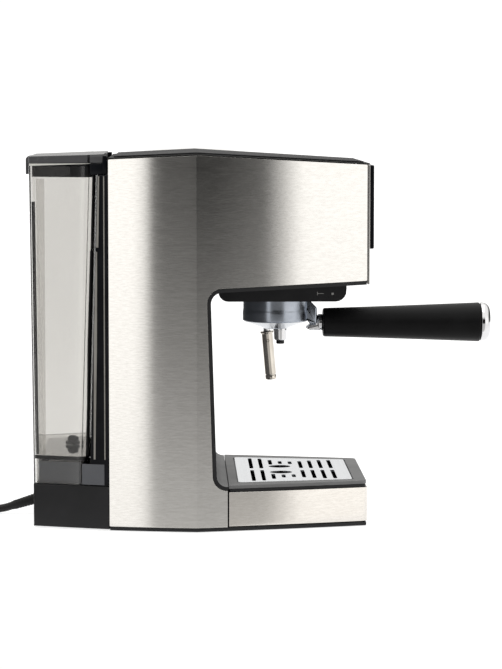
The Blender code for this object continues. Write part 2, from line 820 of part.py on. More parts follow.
def add_steam_knob():
    axis, root = knob_frame()
    empty = joint_empty("steam_knob_axis", root)
    wide = KNOB_RADIUS
    knob = [
        (0, KNOB_DEPTH),
        (wide - 3.0, KNOB_DEPTH),
        (wide - 1.4, KNOB_DEPTH - 0.8),
        (wide - 0.8, KNOB_DEPTH - 2.4),
        (wide, 0),
        (SPINDLE_RADIUS + 0.4, 0),
        (SPINDLE_RADIUS + 0.4, 8.0),
        (0, 8.0),
    ]
    body = part("steam_knob", aimed(turned(knob, 28), root + axis * 0.6, axis), "black_plastic", empty)
    recess = box((-5.0, -wide - 1, KNOB_DEPTH - 5.5), (-1.6, wide + 1, KNOB_DEPTH + 4.0))
    other = box((1.6, -wide - 1, KNOB_DEPTH - 5.5), (5.0, wide + 1, KNOB_DEPTH + 4.0))
    for name, mesh in (("grip_flat_a", recess), ("grip_flat_b", other)):
        cut(body, name, aimed(mesh, root + axis * 0.6, axis))
    spindle = cylinder(SPINDLE_RADIUS, root - axis * 10, root + axis * 7.5, 20)
    part("knob_spindle", spindle, "brass", empty)
    valve = [(0, 0), (10.0, 0), (10.0, -14.0), (7.0, -16.0), (7.0, -30.0), (0, -30.0)]
    part("steam_valve", aimed(turned(valve, 16), root - axis * 10.4, axis), "brass")


def wand_point(z):
    """A point on the steam wand's line."""
    return Vector((WAND_X, BALL_Y - (BALL_Z - z) * WAND_LEAN, z))


def add_steam_wand():
    ball = Vector((WAND_X, BALL_Y, BALL_Z))
    down = (wand_point(0.0) - ball).normalized()
    socket_radius = BALL_RADIUS + GAP
    top = underside(BALL_Y) - 0.8 - BALL_Z
    bowl = [
        (socket_radius * math.sin(a), socket_radius * math.cos(a))
        for a in (math.radians(angle) for angle in (90, 67.5, 45, 22.5))
    ]
    socket = [(0, top), (8.0, top), (8.6, top - 1.0), (8.6, 0.0), *bowl, (0, socket_radius)]
    part("wand_mount", aimed(turned(socket, 20), ball), "chrome")

    swing = joint_empty("steam_wand_axis", ball)
    sphere = [
        (BALL_RADIUS * math.sin(a), BALL_RADIUS * math.cos(a))
        for a in (math.radians(180 * k / 8) for k in range(7))
    ]
    tip = -(wand_point(SLEEVE_Z[0] + 6) - ball).length
    neck = (WAND_RADIUS, -math.sqrt(BALL_RADIUS**2 - WAND_RADIUS**2))
    rod = [(WAND_RADIUS, tip), (1.2, tip), (1.2, tip + 12), (0, tip + 12)]
    wand = [*[(abs(r), z) for r, z in sphere], neck, *rod]
    part("steam_wand", aimed(turned(wand, 16), ball, -down), "chrome", swing)

    foot = wand_point(SLEEVE_Z[0])
    length = (wand_point(SLEEVE_Z[1]) - foot).length
    bore = WAND_RADIUS + GAP
    sleeve = [
        (SLEEVE_RADIUS + 0.9, length),
        (SLEEVE_RADIUS + 0.9, length - 1.6),
        (SLEEVE_RADIUS, length - 2.2),
        (SLEEVE_RADIUS, 1.0),
        (SLEEVE_RADIUS - 0.8, 0.0),
        (bore, 0.0),
        (bore, length),
    ]
    pull = joint_empty("froth_sleeve_axis", foot, swing)
    body = part("froth_sleeve", aimed(turned(sleeve, 20), foot, -down), "chrome", pull)
    hole = wand_point(SLEEVE_Z[1] - 8.0)
    cut(body, "air_hole", cylinder(1.0, hole - Vector((8, 0, 0)), hole - Vector((3.6, 0, 0)), 12))


# ---------------------------------------------------------------- drip tray


def tray_trapezoid(y_front, y_rear, half_front, half_rear, radius):
    return rounded(mirrored([(half_front, y_front, radius), (half_rear, y_rear, radius)]), 3)


def add_drip_tray():
    slide = joint_empty("tray_axis", (0, TRAY_FRONT_Y, BAND_Z[0]))
    rear = SEAM_Y - GAP
    corner = 5.0

    def rim(inset, front_inset, start, radius):
        line = side_line(TRAY_FRONT_Y + front_inset, start, inset)
        return [(*line[0], radius), *line[1:]]

    outer = rounded(mirrored(rim(0.0, 0.0, rear, corner)), 4)
    inner = rounded(mirrored(rim(1.0, 1.0, rear, corner - 1)), 4)
    middle = len(outer) // 2
    strip = outer[middle:] + outer[:middle] + list(reversed(inner[middle:] + inner[:middle]))
    part("tray_band", outline_solid("plan", *BAND_Z, strip), "brushed_steel", slide)

    tub_outline = rounded(mirrored(rim(1.4, 1.4, rear - 0.4, corner - 1)), 4)
    tub = part(
        "tray_tub",
        outline_solid("plan", BASE_HIGH + 0.4, FRAME_Z[0] - GAP, tub_outline),
        "black_plastic",
        slide,
    )
    pit = rounded(mirrored(rim(3.4, 3.4, rear - 2.4, corner - 2)), 4)
    cut(tub, "pit", outline_solid("plan", BASE_HIGH + 2.4, FRAME_Z[1] + 5, pit))

    deck = rounded(mirrored(rim(1.6, 0.8, rear, corner)), 4)
    ledge = tray_trapezoid(
        GRILLE_Y[0] + 2.5, GRILLE_Y[1] - 2.5, GRILLE_HALF[0] - 2.5, GRILLE_HALF[1] - 2.5, 3.0
    )
    frame = part("tray_frame", outline_solid("plan", *FRAME_Z, deck, ledge), "dark_grey_plastic", slide)
    seat = tray_trapezoid(
        GRILLE_Y[0] - 0.9, GRILLE_Y[1] + 0.9, GRILLE_HALF[0] + 0.9, GRILLE_HALF[1] + 0.9, 4.0
    )
    cut(frame, "grille_seat", outline_solid("plan", GRILLE_Z[0] - GAP, FRAME_Z[1] + 3, seat))

    lift = joint_empty("grille_axis", (0, sum(GRILLE_Y) / 2, GRILLE_Z[0]), slide)
    plate = tray_trapezoid(*GRILLE_Y, *GRILLE_HALF, 3.0)
    loops = [plate, *grille_slots(), *grille_lenses()]
    part("drip_grille", outline_solid("plan", *GRILLE_Z, *loops), "grille_steel", lift)


def grille_slots():
    """Nine rows of round-ended slots, each split by a bridge along the centre line."""
    half = SLOT_WIDTH / 2
    loops = []
    for row, (near, far) in enumerate(SLOT_SPANS):
        y = SLOT_FIRST_Y - SLOT_PITCH * row
        for side in (-1, 1):
            x0, x1 = sorted((side * near, side * far))
            corners = [(x0, y - half), (x1, y - half), (x1, y + half), (x0, y + half)]
            loops.append(rounded([(*c, half * 0.9) for c in corners], 1))
    return loops


def grille_lenses():
    """Two oval openings under the spout."""
    (cx, cy), (rx, ry) = LENS_CENTRE, LENS_HALF
    angles = [math.tau * k / 14 for k in range(14)]
    return [
        [(side * cx + rx * math.cos(a), cy + ry * math.sin(a)) for a in angles] for side in (-1, 1)
    ]


# ---------------------------------------------------------------- water tank


def tank_outline(y_front, y_rear, inset):
    """The tank's plan, moved in by inset on all sides."""
    front, rear = y_front + inset, y_rear - inset
    radius = max(TANK_CORNER - inset, 1.5)
    line = [(half_width(y) - 0.4 - inset, y) for y in (front, front + (rear - front) / 2, rear)]
    return rounded(mirrored([(*line[0], radius), line[1], (*line[2], radius)]), 3)


def tank_section(z, inset):
    share = (z - TANK_LOW) / (TANK_RIM - TANK_LOW)
    front = TANK_FRONT_Y[0] + (TANK_FRONT_Y[1] - TANK_FRONT_Y[0]) * share
    rear = TANK_REAR_Y[0] + (TANK_REAR_Y[1] - TANK_REAR_Y[0]) * share
    return z, tank_outline(front, rear, inset)


def add_water_tank():
    lift = joint_empty("tank_axis", (0, VALVE_Y, TANK_LOW))
    shell = loft([tank_section(TANK_LOW, 0.0), tank_section(TANK_RIM, 0.0)])
    tank = part("water_tank", shell, "smoked_clear", lift)
    for side in (-1, 1):
        x0, x1 = sorted((side * (LID_NECK_HALF + 0.5), side * (LID_NECK_HALF + 4.3)))
        ear = box((x0, 59.8, 287.5), (x1, 68.0, LID_AXIS[1] + 2.6))
        join(tank, f"ear_{'left' if side < 0 else 'right'}", ear)
    hollows = (("inside", TANK_FLOOR[1], TANK_RIM + 1), ("skirt", TANK_LOW - 1, TANK_FLOOR[0]))
    for name, low, high in hollows:
        cut(tank, name, loft([tank_section(low, TANK_WALL), tank_section(high, TANK_WALL)]))
    cut(tank, "valve_hole", cylinder(3.0, (0, VALVE_Y, 50.0), (0, VALVE_Y, 65.0), 20))
    reach = LID_NECK_HALF + 8
    pin_line = ((-reach, *LID_AXIS), (reach, *LID_AXIS))
    cut(tank, "pin_holes", cylinder(2.0, *pin_line, 16))

    valve_axis = joint_empty("tank_valve_axis", (0, VALVE_Y, TANK_FLOOR[1]), lift)
    poppet = [(0, 67.0), (2.8, 67.0), (4.5, 65.4), (4.5, 59.4), (1.9, 59.4), (1.9, 48.0), (0, 48.0)]
    part("tank_valve", aimed(turned(poppet, 16), (0, VALVE_Y, 0)), "dark_grey_plastic", valve_axis)
    socket = [(9.0, 45.5), (9.0, BLOCK_HIGH + GAP), (4.4, BLOCK_HIGH + GAP), (4.4, 45.5)]
    part("tank_socket", aimed(turned(socket, 20), (0, VALVE_Y, 0)), "black_plastic")
    add_tank_lid(lift)


def add_tank_lid(lift):
    hinge = joint_empty("tank_lid_axis", (0, *LID_AXIS), lift)
    shoulder = 69.3
    right = [
        (LID_NECK_HALF, LID_FRONT_Y),
        (LID_NECK_HALF, shoulder),
        (half_width(shoulder) - 0.4, shoulder + 0.6),
        (half_width(LID_REAR_Y) - 0.4, LID_REAR_Y, TANK_CORNER),
    ]
    plate = outline_solid("plan", *LID_Z, rounded(mirrored(right), 4))
    lid = part("tank_lid", plate, "black_plastic", hinge)
    lip = outline_solid(
        "plan",
        LIP_LOW_Z,
        LID_Z[0] + 1,
        lip_outline(0.0),
        lip_outline(1.8),
    )
    join(lid, "lip", lip)
    tab_top = LID_Z[1] - 0.4
    tab_profile = [
        (LID_REAR_Y - 6, tab_top),
        (LID_REAR_Y - 6, tab_top - 2.6),
        (TAB_Y - 2.6, tab_top - 2.6),
        (TAB_Y - 2.6, 285.5),
        (TAB_Y, 285.5),
        (TAB_Y, tab_top - 2.0),
        (TAB_Y - 2.0, tab_top),
    ]
    join(lid, "finger_tab", outline_solid("side", -18.0, 18.0, tab_profile))
    reach = LID_NECK_HALF + 4.0
    join(lid, "hinge_pins", cylinder(1.4, (-reach, *LID_AXIS), (reach, *LID_AXIS), 16))


def lip_outline(inset):
    """The wall under the lid that drops into the tank; it clears the tank as the lid opens."""
    front, rear = 69.1 + inset, 111.5 - inset
    side = TANK_WALL + 5.0 + inset
    right = [(half_width(front) - side, front, 3.0), (half_width(rear) - side, rear, 3.0)]
    return rounded(mirrored(right), 2)


# ---------------------------------------------------------------- pump and hoses


def add_water_works():
    x, y = -38.0, 12.0
    pump = part("pump", cylinder(11.0, (x, y, 50.0), (x, y, 150.0), 18), "brass")
    join(pump, "coil_frame", box((x - 19, y - 19, 82.0), (x + 19, y + 19, 126.0), 2.0))
    foot = [(0, 49.7), (13, 49.7), (13, 44.0), (10, 40.0), (10, 16.0), (13, 12.0), (13, 6.6), (0, 6.6)]
    part("pump_mount_lower", aimed(turned(foot, 16), (x, y, 0)), "rubber")
    collar = [(18, 146.0), (18, 136.0), (11.4, 136.0), (11.4, 146.0)]
    part("pump_mount_upper", aimed(turned(collar, 20), (x, y, 0)), "rubber")

    inlet = ((0, VALVE_Y, 43.0), (0, VALVE_Y, 34.0), (0, 80.0, 22.0), (-1.0, 66.0, 17.0))
    inlet += ((-2.0, 45.0, 17.0), (-8.0, 30.0, 24.0), (-15.0, 22.0, 50.0), (-14.0, 24.0, 80.0))
    part("water_inlet_tube", tube(smooth_route(inlet, 8.0), 2.8), "silicone")
    pressure = ((x, y, 150.4), (x, y, 165.0), (x + 2, y - 4, 190.0), (x + 2, -14.0, 214.0))
    pressure += ((-34.0, -32.0, 228.0), (-24.0, -42.0, 234.0), (-13.0, -47.5, 236.0))
    part("pressure_tube", tube(smooth_route(pressure, 8.0), 2.0), "silicone")
    axis, root = knob_frame()
    start = root - axis * 33.0 + Vector((0, 0, -7.5))
    steam = (start, start + Vector((2, 2, -10)), (58.0, -100.0, 222.0))
    steam += ((WAND_X, -84.0, 210.0), (WAND_X, BALL_Y, 198.5))
    part("steam_tube", tube(smooth_route(steam, 6.0), 2.0), "silicone")


# ---------------------------------------------------------------- mains lead


def add_mains_lead():
    end = GLAND_LENGTH - 0.3
    gland = [(0, end), (4.2, end), (4.4, 14.0), (5.4, 5.0), (6.4, 3.6), (6.4, 2.4)]
    mesh = turned([*gland, (0, 2.4)], 16)
    part("cord_gland", aimed(mesh, EXIT, GLAND_AXIS), "rubber")

    part("power_cord", tube(smooth_route(LEAD_ROUTE, 8.0), CORD_RADIUS), "rubber")
    part("cord_tail", tube(smooth_route(TAIL_ROUTE, 8.0), CORD_RADIUS), "rubber")

    small, large = TURN_RADII[0] - CORD_RADIUS, TURN_RADII[1] + CORD_RADIUS
    high = COIL_LOW + 4 * CORD_RADIUS
    ring = [
        (large, high - 1.6),
        (large, COIL_LOW + 1.6),
        (large - 1.6, COIL_LOW),
        (small + 1.6, COIL_LOW),
        (small, COIL_LOW + 1.6),
        (small, high - 1.6),
        (small + 1.6, high),
        (large - 1.6, high),
    ]
    part("cord_coil", aimed(turned(ring, 28), (*COIL_CENTRE, 0)), "rubber")

    clip = [
        (small - 1.2, 0.6),
        (small - 1.2, high + 0.4),
        (large + 0.4, high + 0.4),
        (large + 0.4, 0.6),
        (large + 1.6, 0.6),
        (large + 1.6, high + 1.6),
        (small - 2.4, high + 1.6),
        (small - 2.4, 0.6),
    ]
    mesh = outline_solid("front", -5.0, 5.0, clip)
    turn = Quaternion((0, 0, 1), math.radians(150)).to_matrix().to_4x4()
    mesh.transform(Matrix.Translation(Vector((*COIL_CENTRE, 0)) * MM) @ turn)
    part("cord_tie", mesh, "black_plastic")

    profile = [
        (0, 50.0),
        (14.5, 50.0),
        (16.8, 48.4),
        (PLUG_RADIUS, 45.0),
        (PLUG_RADIUS, 27.0),
        (15.5, 21.0),
        (8.0, 16.0),
        (6.0, 8.0),
        (4.4, 0.0),
        (0, 0.0),
    ]
    plug = part("plug", aimed(turned(profile, 24), PLUG_START, (1, 0, 0)), "black_plastic")
    for side in (-1, 1):
        pin = PLUG_START + Vector((48.0, side * 9.5, 0.0))
        join(plug, f"pin_{'a' if side < 0 else 'b'}", cylinder(2.4, pin, pin + Vector((20.5, 0, 0)), 12))


clear_scene()
PARTS = new_collection("espresso_machine")
CUTTERS = new_collection("cutters")
FRAME = new_empty("machine_frame", (0.0, -(CAP_END_Y + TAB_Y) / 2, 0.0))
add_base()
add_side_panels()
add_cup_space_liner()
add_top()
add_rear_cover()
add_front()
add_group_collar()
add_brew_group()
add_portafilter()
add_steam_knob()
add_steam_wand()
add_drip_tray()
add_water_tank()
add_water_works()
add_mains_lead()
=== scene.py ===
"""Looks of a home espresso machine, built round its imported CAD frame.

Lengths in the tables below are millimetres in the machine's own frame: X to the right,
-Y to the front, Z up, with the brew axis at X 0. at() turns them into the row frame.
"""

import json
import math

import bmesh
import bpy
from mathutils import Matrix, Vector

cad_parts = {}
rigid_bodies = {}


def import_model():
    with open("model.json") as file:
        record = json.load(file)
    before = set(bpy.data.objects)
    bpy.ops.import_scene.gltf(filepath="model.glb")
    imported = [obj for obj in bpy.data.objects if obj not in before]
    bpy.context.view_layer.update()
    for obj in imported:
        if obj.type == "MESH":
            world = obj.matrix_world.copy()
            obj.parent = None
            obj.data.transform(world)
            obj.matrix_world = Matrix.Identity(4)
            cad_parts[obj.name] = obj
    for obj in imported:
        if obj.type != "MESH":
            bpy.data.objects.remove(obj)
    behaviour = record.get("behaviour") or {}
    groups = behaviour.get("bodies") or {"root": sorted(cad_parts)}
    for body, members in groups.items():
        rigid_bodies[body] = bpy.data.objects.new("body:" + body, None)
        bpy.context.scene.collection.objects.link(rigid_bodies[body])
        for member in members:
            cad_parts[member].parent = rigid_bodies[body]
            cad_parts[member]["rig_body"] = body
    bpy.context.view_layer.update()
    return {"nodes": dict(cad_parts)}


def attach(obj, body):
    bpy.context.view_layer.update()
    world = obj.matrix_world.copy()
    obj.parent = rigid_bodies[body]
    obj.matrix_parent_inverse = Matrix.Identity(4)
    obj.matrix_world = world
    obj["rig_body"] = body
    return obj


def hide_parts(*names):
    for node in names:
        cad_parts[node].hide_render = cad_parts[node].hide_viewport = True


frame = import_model()
NODES = frame["nodes"]

ROW_Y = 69.7  # from the machine's frame to the row frame

# Plan of the housing, its side profile and the places that the pieces below share
PLAN = ((-157.0, 70.0), (-17.0, 102.0), (53.3, 90.0), (113.7, 69.0))
BULGE = 0.0115
SHEET = 1.2
PANEL_FRONT_Y, CREASE_Y, PANEL_REAR_Y = -155.5, -17.0, 53.3
RIDGE_Z, REAR_TOP_Z, FRONT_TOP_Z = 302.2, 298.9, 294.2
PANEL_LOW, SHELF_Z, HEAD_FRONT_Z = 3.5, 33.0, 200.4
SEAM_Y = -42.7
CUP_TOP_CORNER = (-25.1, 195.55, 12.0)
CUP_LOW_CORNER = (-30.1, 33.0, 12.0)
FOOT_PLACES = ((-72, 38), (72, 38), (-55, -135), (55, -135))
GROUP_Y = -83.9
CUP_RADIUS, CUP_RIM_Z = 27.6, 190.6
SPOUT_FORWARD = 4.0
HANDLE_Z = 161.0
# Side outlines of the handle's arm: (y, z, corner radius)
ARM_OUTLINE = (
    (-104.5, 181.6, 0.5), (-110.6, 181.4, 3.0), (-118.3, 173.4, 2.0), (-118.3, 160.2, 1.0),
    (-112.4, 160.2, 2.0), (-109.6, 163.6, 1.5), (-104.5, 163.6, 0.5),
)
SPUR_OUTLINE = (
    (-108.6, 157.0, 0.8), (-112.6, 160.1, 1.5), (-122.6, 160.6, 0.5), (-122.6, 154.7, 0.5),
    (-112.0, 154.9, 1.5),
)
GRIP_Y = (-255.1, -123.3)
GRIP_RADII = (16.45, 12.05)
CAP_END_Y = -263.6
WAND_X, BALL_Y, BALL_Z, BALL_RADIUS = 60.0, -75.3, 187.5, 5.5
WAND_LEAN, WAND_RADIUS = 0.088, 3.0
SLEEVE_Z, SLEEVE_RADIUS = (106.8, 148.7), 4.9
KNOB_Y, KNOB_Z = -120.0, 250.0
BUTTON_Y, BUTTON_Z = -154.0, 256.0
LAMP_Y, LAMP_Z = -158.3, 280.0
VALVE_Y = 86.0

# Water tank: its plan follows the housing's, TANK_INSET inside it
TANK_LOW_Z, TANK_HIGH_Z = 36.4, 293.3
TANK_INSET, TANK_CORNER = 0.4, 7.0
RIM_FRONT_Y, RIM_REAR_Y = 63.3, 117.9
LID_FRONT_Y, LID_REAR_Y, LID_LIP_Z = 57.4, 118.4, 284.4
HINGE_X = (79.75, 84.7)
# Dark lines down the tank's front corners, painted shade: (height, depth of the rear edge)
# stations
TANK_CORNER_SHADE = (((59.8, 1.7), (150.0, 3.0), (226.0, 2.7)), ((227.0, 1.7), (287.0, 2.2)))
PEDESTAL = ((36.6, 4.6), (53.6, 4.6), (53.6, 6.4), (36.6, 6.4), (36.6, 4.6))  # height and inset

# Mains lead: out of the strain relief, four turns of spare length, then to the plug
CORD_RADIUS = 3.3
COIL_CENTRE = (-44.0, 203.0)
OUTER_TURN, INNER_TURN = 41.3, 34.7
LOW_TURN, HIGH_TURN = 3.5, 10.1
STEP_INWARD, STEP_UP, STEP_OUTWARD, STEP_SPAN = 308.0, 648.0, 986.0, 60.0
EXIT = (5.0, 114.0, 13.5)
LEAD_ROUTE = (
    (5.0, 137.3, 6.53), (5.0, 144.0, 4.6), (5.2, 152.0, 3.6), (4.6, 160.0, 3.5),
    (2.2, 168.0, 3.5), (-0.6, 176.5, 3.5),
)
TAIL_START, TAIL_END = (-32.0, 161.5, 10.2), (32.6, 176.0, 18.2)
PLUG_START = (33.0, 176.0, 18.2)
RELIEF_LENGTH, RELIEF_SLOPE = 24.7, (0, 0.958, -0.287)

# Studio: the camera looks at the machine's left side from a little above it
CAMERA_PLACE, CAMERA_LENS = (-2200.0, 0.0, 342.2), 142.0
CAMERA_YAW, CAMERA_PITCH = 1.65, 4.97
FLOOR_EDGE_X = -0.12  # metres; the floor starts just outside the machine's left side
# Brightness round the machine: (degrees from its left towards its front, brightness)
STUDIO_FLATS = (
    (-180, 0.55), (-150, 0.06), (-70, 0.05), (-37, 0.14),
    (-31.5, 1.0), (-21.8, 1.0),  # bright panel towards the rear
    (-19.4, 0.045), (10, 0.004), (22, 0.004), (26.8, 0.06),  # dark flat
    (29.7, 1.0), (70, 1.0),  # wide bright panel towards the front
    (95, 0.30), (115, 0.05), (150, 0.06), (180, 0.55),
)


def at(x, y, z):
    """A point of the machine's frame in the row frame."""
    return Vector((x, y + ROW_Y, z)) / 1000


def ease(share):
    """A smooth step from 0 to 1."""
    share = min(1.0, max(0.0, share))
    return share * share * (3 - 2 * share)


# ---------- materials


def set_stops(ramp, stops):
    """Puts (place, grey or colour) stops, in rising order, on a colour ramp."""
    marks = ramp.elements
    marks.remove(marks[-1])
    marks[0].position = stops[0][0]
    for number, (where, value) in enumerate(stops):
        mark = marks.new(where) if number else marks[0]
        colour = value if isinstance(value, tuple) else (value, value, value)
        mark.color = (*colour, 1.0)


class Shader:
    """A Principled material whose constant values sit on the shader's own sockets."""

    def __init__(self, name, **values):
        self.material = bpy.data.materials.new(name)
        self.material.use_nodes = True
        self.tree = self.material.node_tree
        self.bsdf = self.tree.nodes["Principled BSDF"]
        self.place = self.tree.nodes.new("ShaderNodeTexCoord").outputs["Object"]
        for key, value in values.items():
            socket = self.bsdf.inputs[key.replace("_", " ")]
            socket.default_value = (*value, 1.0) if isinstance(value, tuple) else value

    def link(self, source, target):
        self.tree.links.new(source, target)

    def noise(self, scale=(1.0, 1.0, 1.0), size=1.0, detail=3.0, rough=0.5):
        """Noise over object space; scale stretches it and size is features for each metre."""
        mapping = self.tree.nodes.new("ShaderNodeMapping")
        mapping.inputs["Scale"].default_value = scale
        self.link(self.place, mapping.inputs["Vector"])
        noise = self.tree.nodes.new("ShaderNodeTexNoise")
        noise.inputs["Scale"].default_value = size
        noise.inputs["Detail"].default_value = detail
        noise.inputs["Roughness"].default_value = rough
        self.link(mapping.outputs["Vector"], noise.inputs["Vector"])
        return noise.outputs["Fac"]

    def ribs(self, axis, size):
        """Straight parallel waves across an axis."""
        wave = self.tree.nodes.new("ShaderNodeTexWave")
        wave.bands_direction = axis
        wave.inputs["Scale"].default_value = size
        self.link(self.place, wave.inputs["Vector"])
        return wave.outputs["Fac"]

    def ramp(self, source, *stops):
        """A colour ramp from the source, with (place, grey or colour) stops."""
        node = self.tree.nodes.new("ShaderNodeValToRGB")
        set_stops(node.color_ramp, stops)
        self.link(source, node.inputs["Fac"])
        return node.outputs["Color"]

    def colour(self, source, *stops):
        self.link(self.ramp(source, *stops), self.bsdf.inputs["Base Color"])
        return self

    def roughness(self, source, low, high, start=0.3, end=0.7):
        self.link(self.ramp(source, (start, low), (end, high)), self.bsdf.inputs["Roughness"])
        return self

    def bump(self, *layers):
        """Bump from (height, strength, distance) layers, one on top of the other."""
        normal = None
        for source, strength, distance in layers:
            node = self.tree.nodes.new("ShaderNodeBump")
            node.inputs["Strength"].default_value = strength
            node.inputs["Distance"].default_value = distance
            self.link(source, node.inputs["Height"])
            if normal is not None:
                self.link(normal, node.inputs["Normal"])
            normal = node.outputs["Normal"]
        self.link(normal, self.bsdf.inputs["Normal"])
        return self

    def upright_glints(self, amount):
        """Highlights drawn out upright, as on metal that is brushed level."""
        tangent = self.tree.nodes.new("ShaderNodeTangent")
        tangent.direction_type = "RADIAL"
        tangent.axis = "Z"
        self.link(tangent.outputs["Tangent"], self.bsdf.inputs["Tangent"])
        self.bsdf.inputs["Anisotropic"].default_value = amount
        self.bsdf.inputs["Anisotropic Rotation"].default_value = 0.25
        return self


def brushed_metal(name, along, low, high, rough=(0.086, 0.100), glints=0.8):
    """Metal brushed along one axis: fine streaks in colour, roughness and height."""
    stretch = [900.0, 900.0, 900.0]
    stretch["XYZ".index(along)] = 9.0
    made = Shader(name, Metallic=1.0)
    streaks = made.noise(tuple(stretch), 1.0, 4.0, 0.65)
    wide = [260.0, 260.0, 260.0]
    wide["XYZ".index(along)] = 6.0
    clouds = made.noise(tuple(wide), 1.0, 2.0)
    made.colour(streaks, (0.25, low), (0.75, high))
    made.roughness(clouds, *rough)
    made.bump((streaks, 0.14, 0.00005))
    return made.upright_glints(glints).material if glints else made.material


def moulded_plastic(name, dark, light, rough=(0.34, 0.46), grain=0.10, shine=0.22):
    """Satin moulded plastic with a fine spark-eroded grain and faint handling marks."""
    made = Shader(name, Specular_IOR_Level=shine)
    grains = made.noise(size=2600.0, detail=2.0)
    marks = made.noise(size=38.0, detail=5.0, rough=0.6)
    made.colour(marks, (0.30, dark), (0.75, light))
    made.roughness(marks, *rough)
    made.bump((grains, grain, 0.00008), (marks, 0.03, 0.0004))
    return made.material


def polished_metal(name, dark, light, rough, grain_size=900.0, grain=0.02):
    """Smooth metal with a cloudy sheen; a stronger grain gives a cast or turned face."""
    made = Shader(name, Metallic=1.0)
    clouds = made.noise(size=55.0, detail=4.0)
    grains = made.noise(size=grain_size, detail=3.0)
    made.colour(clouds, (0.30, dark), (0.70, light))
    made.roughness(clouds, *rough)
    made.bump((grains, grain, 0.0001))
    return made.material


def gloss_black():
    gloss = Shader("gloss_black", Specular_IOR_Level=0.12)
    haze = gloss.noise(size=60.0, detail=5.0)
    gloss.colour(haze, (0.3, (0.0035, 0.0037, 0.0048)), (0.7, (0.007, 0.0075, 0.0095)))
    gloss.roughness(haze, 0.10, 0.18)
    gloss.bump((gloss.noise(size=150.0), 0.02, 0.0002))
    return gloss.material


def board_green():
    """Circuit board with darker and lighter tracks."""
    board = Shader("board_green", Roughness=0.45)
    tracks = board.noise(size=340.0, detail=1.0)
    board.colour(tracks, (0.48, (0.02, 0.16, 0.06)), (0.52, (0.05, 0.26, 0.11)))
    board.bump((tracks, 0.2, 0.0001))
    return board.material


def lamp_lens():
    lens = Shader("lamp_lens", Transmission_Weight=0.35, Coat_Weight=0.6, Coat_Roughness=0.05)
    cells = lens.noise(size=900.0, detail=1.0)
    lens.colour(cells, (0.3, (0.55, 0.10, 0.04)), (0.7, (0.75, 0.20, 0.08)))
    lens.roughness(cells, 0.12, 0.25)
    lens.bump((cells, 0.15, 0.0001))
    return lens.material


def warming_plate_black():
    """Matt enamel over a finely ribbed sheet."""
    warmer = Shader("warming_plate_black", Specular_IOR_Level=0.2)
    ribs = warmer.ribs("X", 52.0)
    grains = warmer.noise(size=2200.0)
    warmer.colour(grains, (0.3, (0.020, 0.020, 0.021)), (0.7, (0.034, 0.034, 0.035)))
    warmer.roughness(warmer.noise(size=30.0), 0.62, 0.74)
    warmer.bump((ribs, 0.35, 0.0006), (grains, 0.08, 0.0001))
    return warmer.material


def printed_mark():
    marks = Shader("printed_mark")
    ink = marks.noise(size=1200.0)
    marks.colour(ink, (0.3, (0.24, 0.24, 0.23)), (0.7, (0.34, 0.34, 0.33)))
    marks.roughness(ink, 0.5, 0.6)
    return marks.material


def clear_plastic():
    """Lightly smoked styrene: clear, with faint moulding flow and a few hairline scuffs."""
    clear = Shader("smoked_clear", Transmission_Weight=1.0, IOR=1.45)
    flow = clear.noise((1.0, 1.0, 0.25), 26.0, 2.0)
    scuffs = clear.noise((1.0, 1.0, 6.0), 210.0, 5.0, 0.7)
    clear.colour(flow, (0.3, (0.730, 0.721, 0.702)), (0.7, (0.750, 0.741, 0.724)))
    clear.roughness(scuffs, 0.005, 0.05, 0.55, 0.85)
    clear.bump((flow, 0.012, 0.0006))
    return clear.material


def grey(value, blue=0.0):
    return (value, value, value + blue)


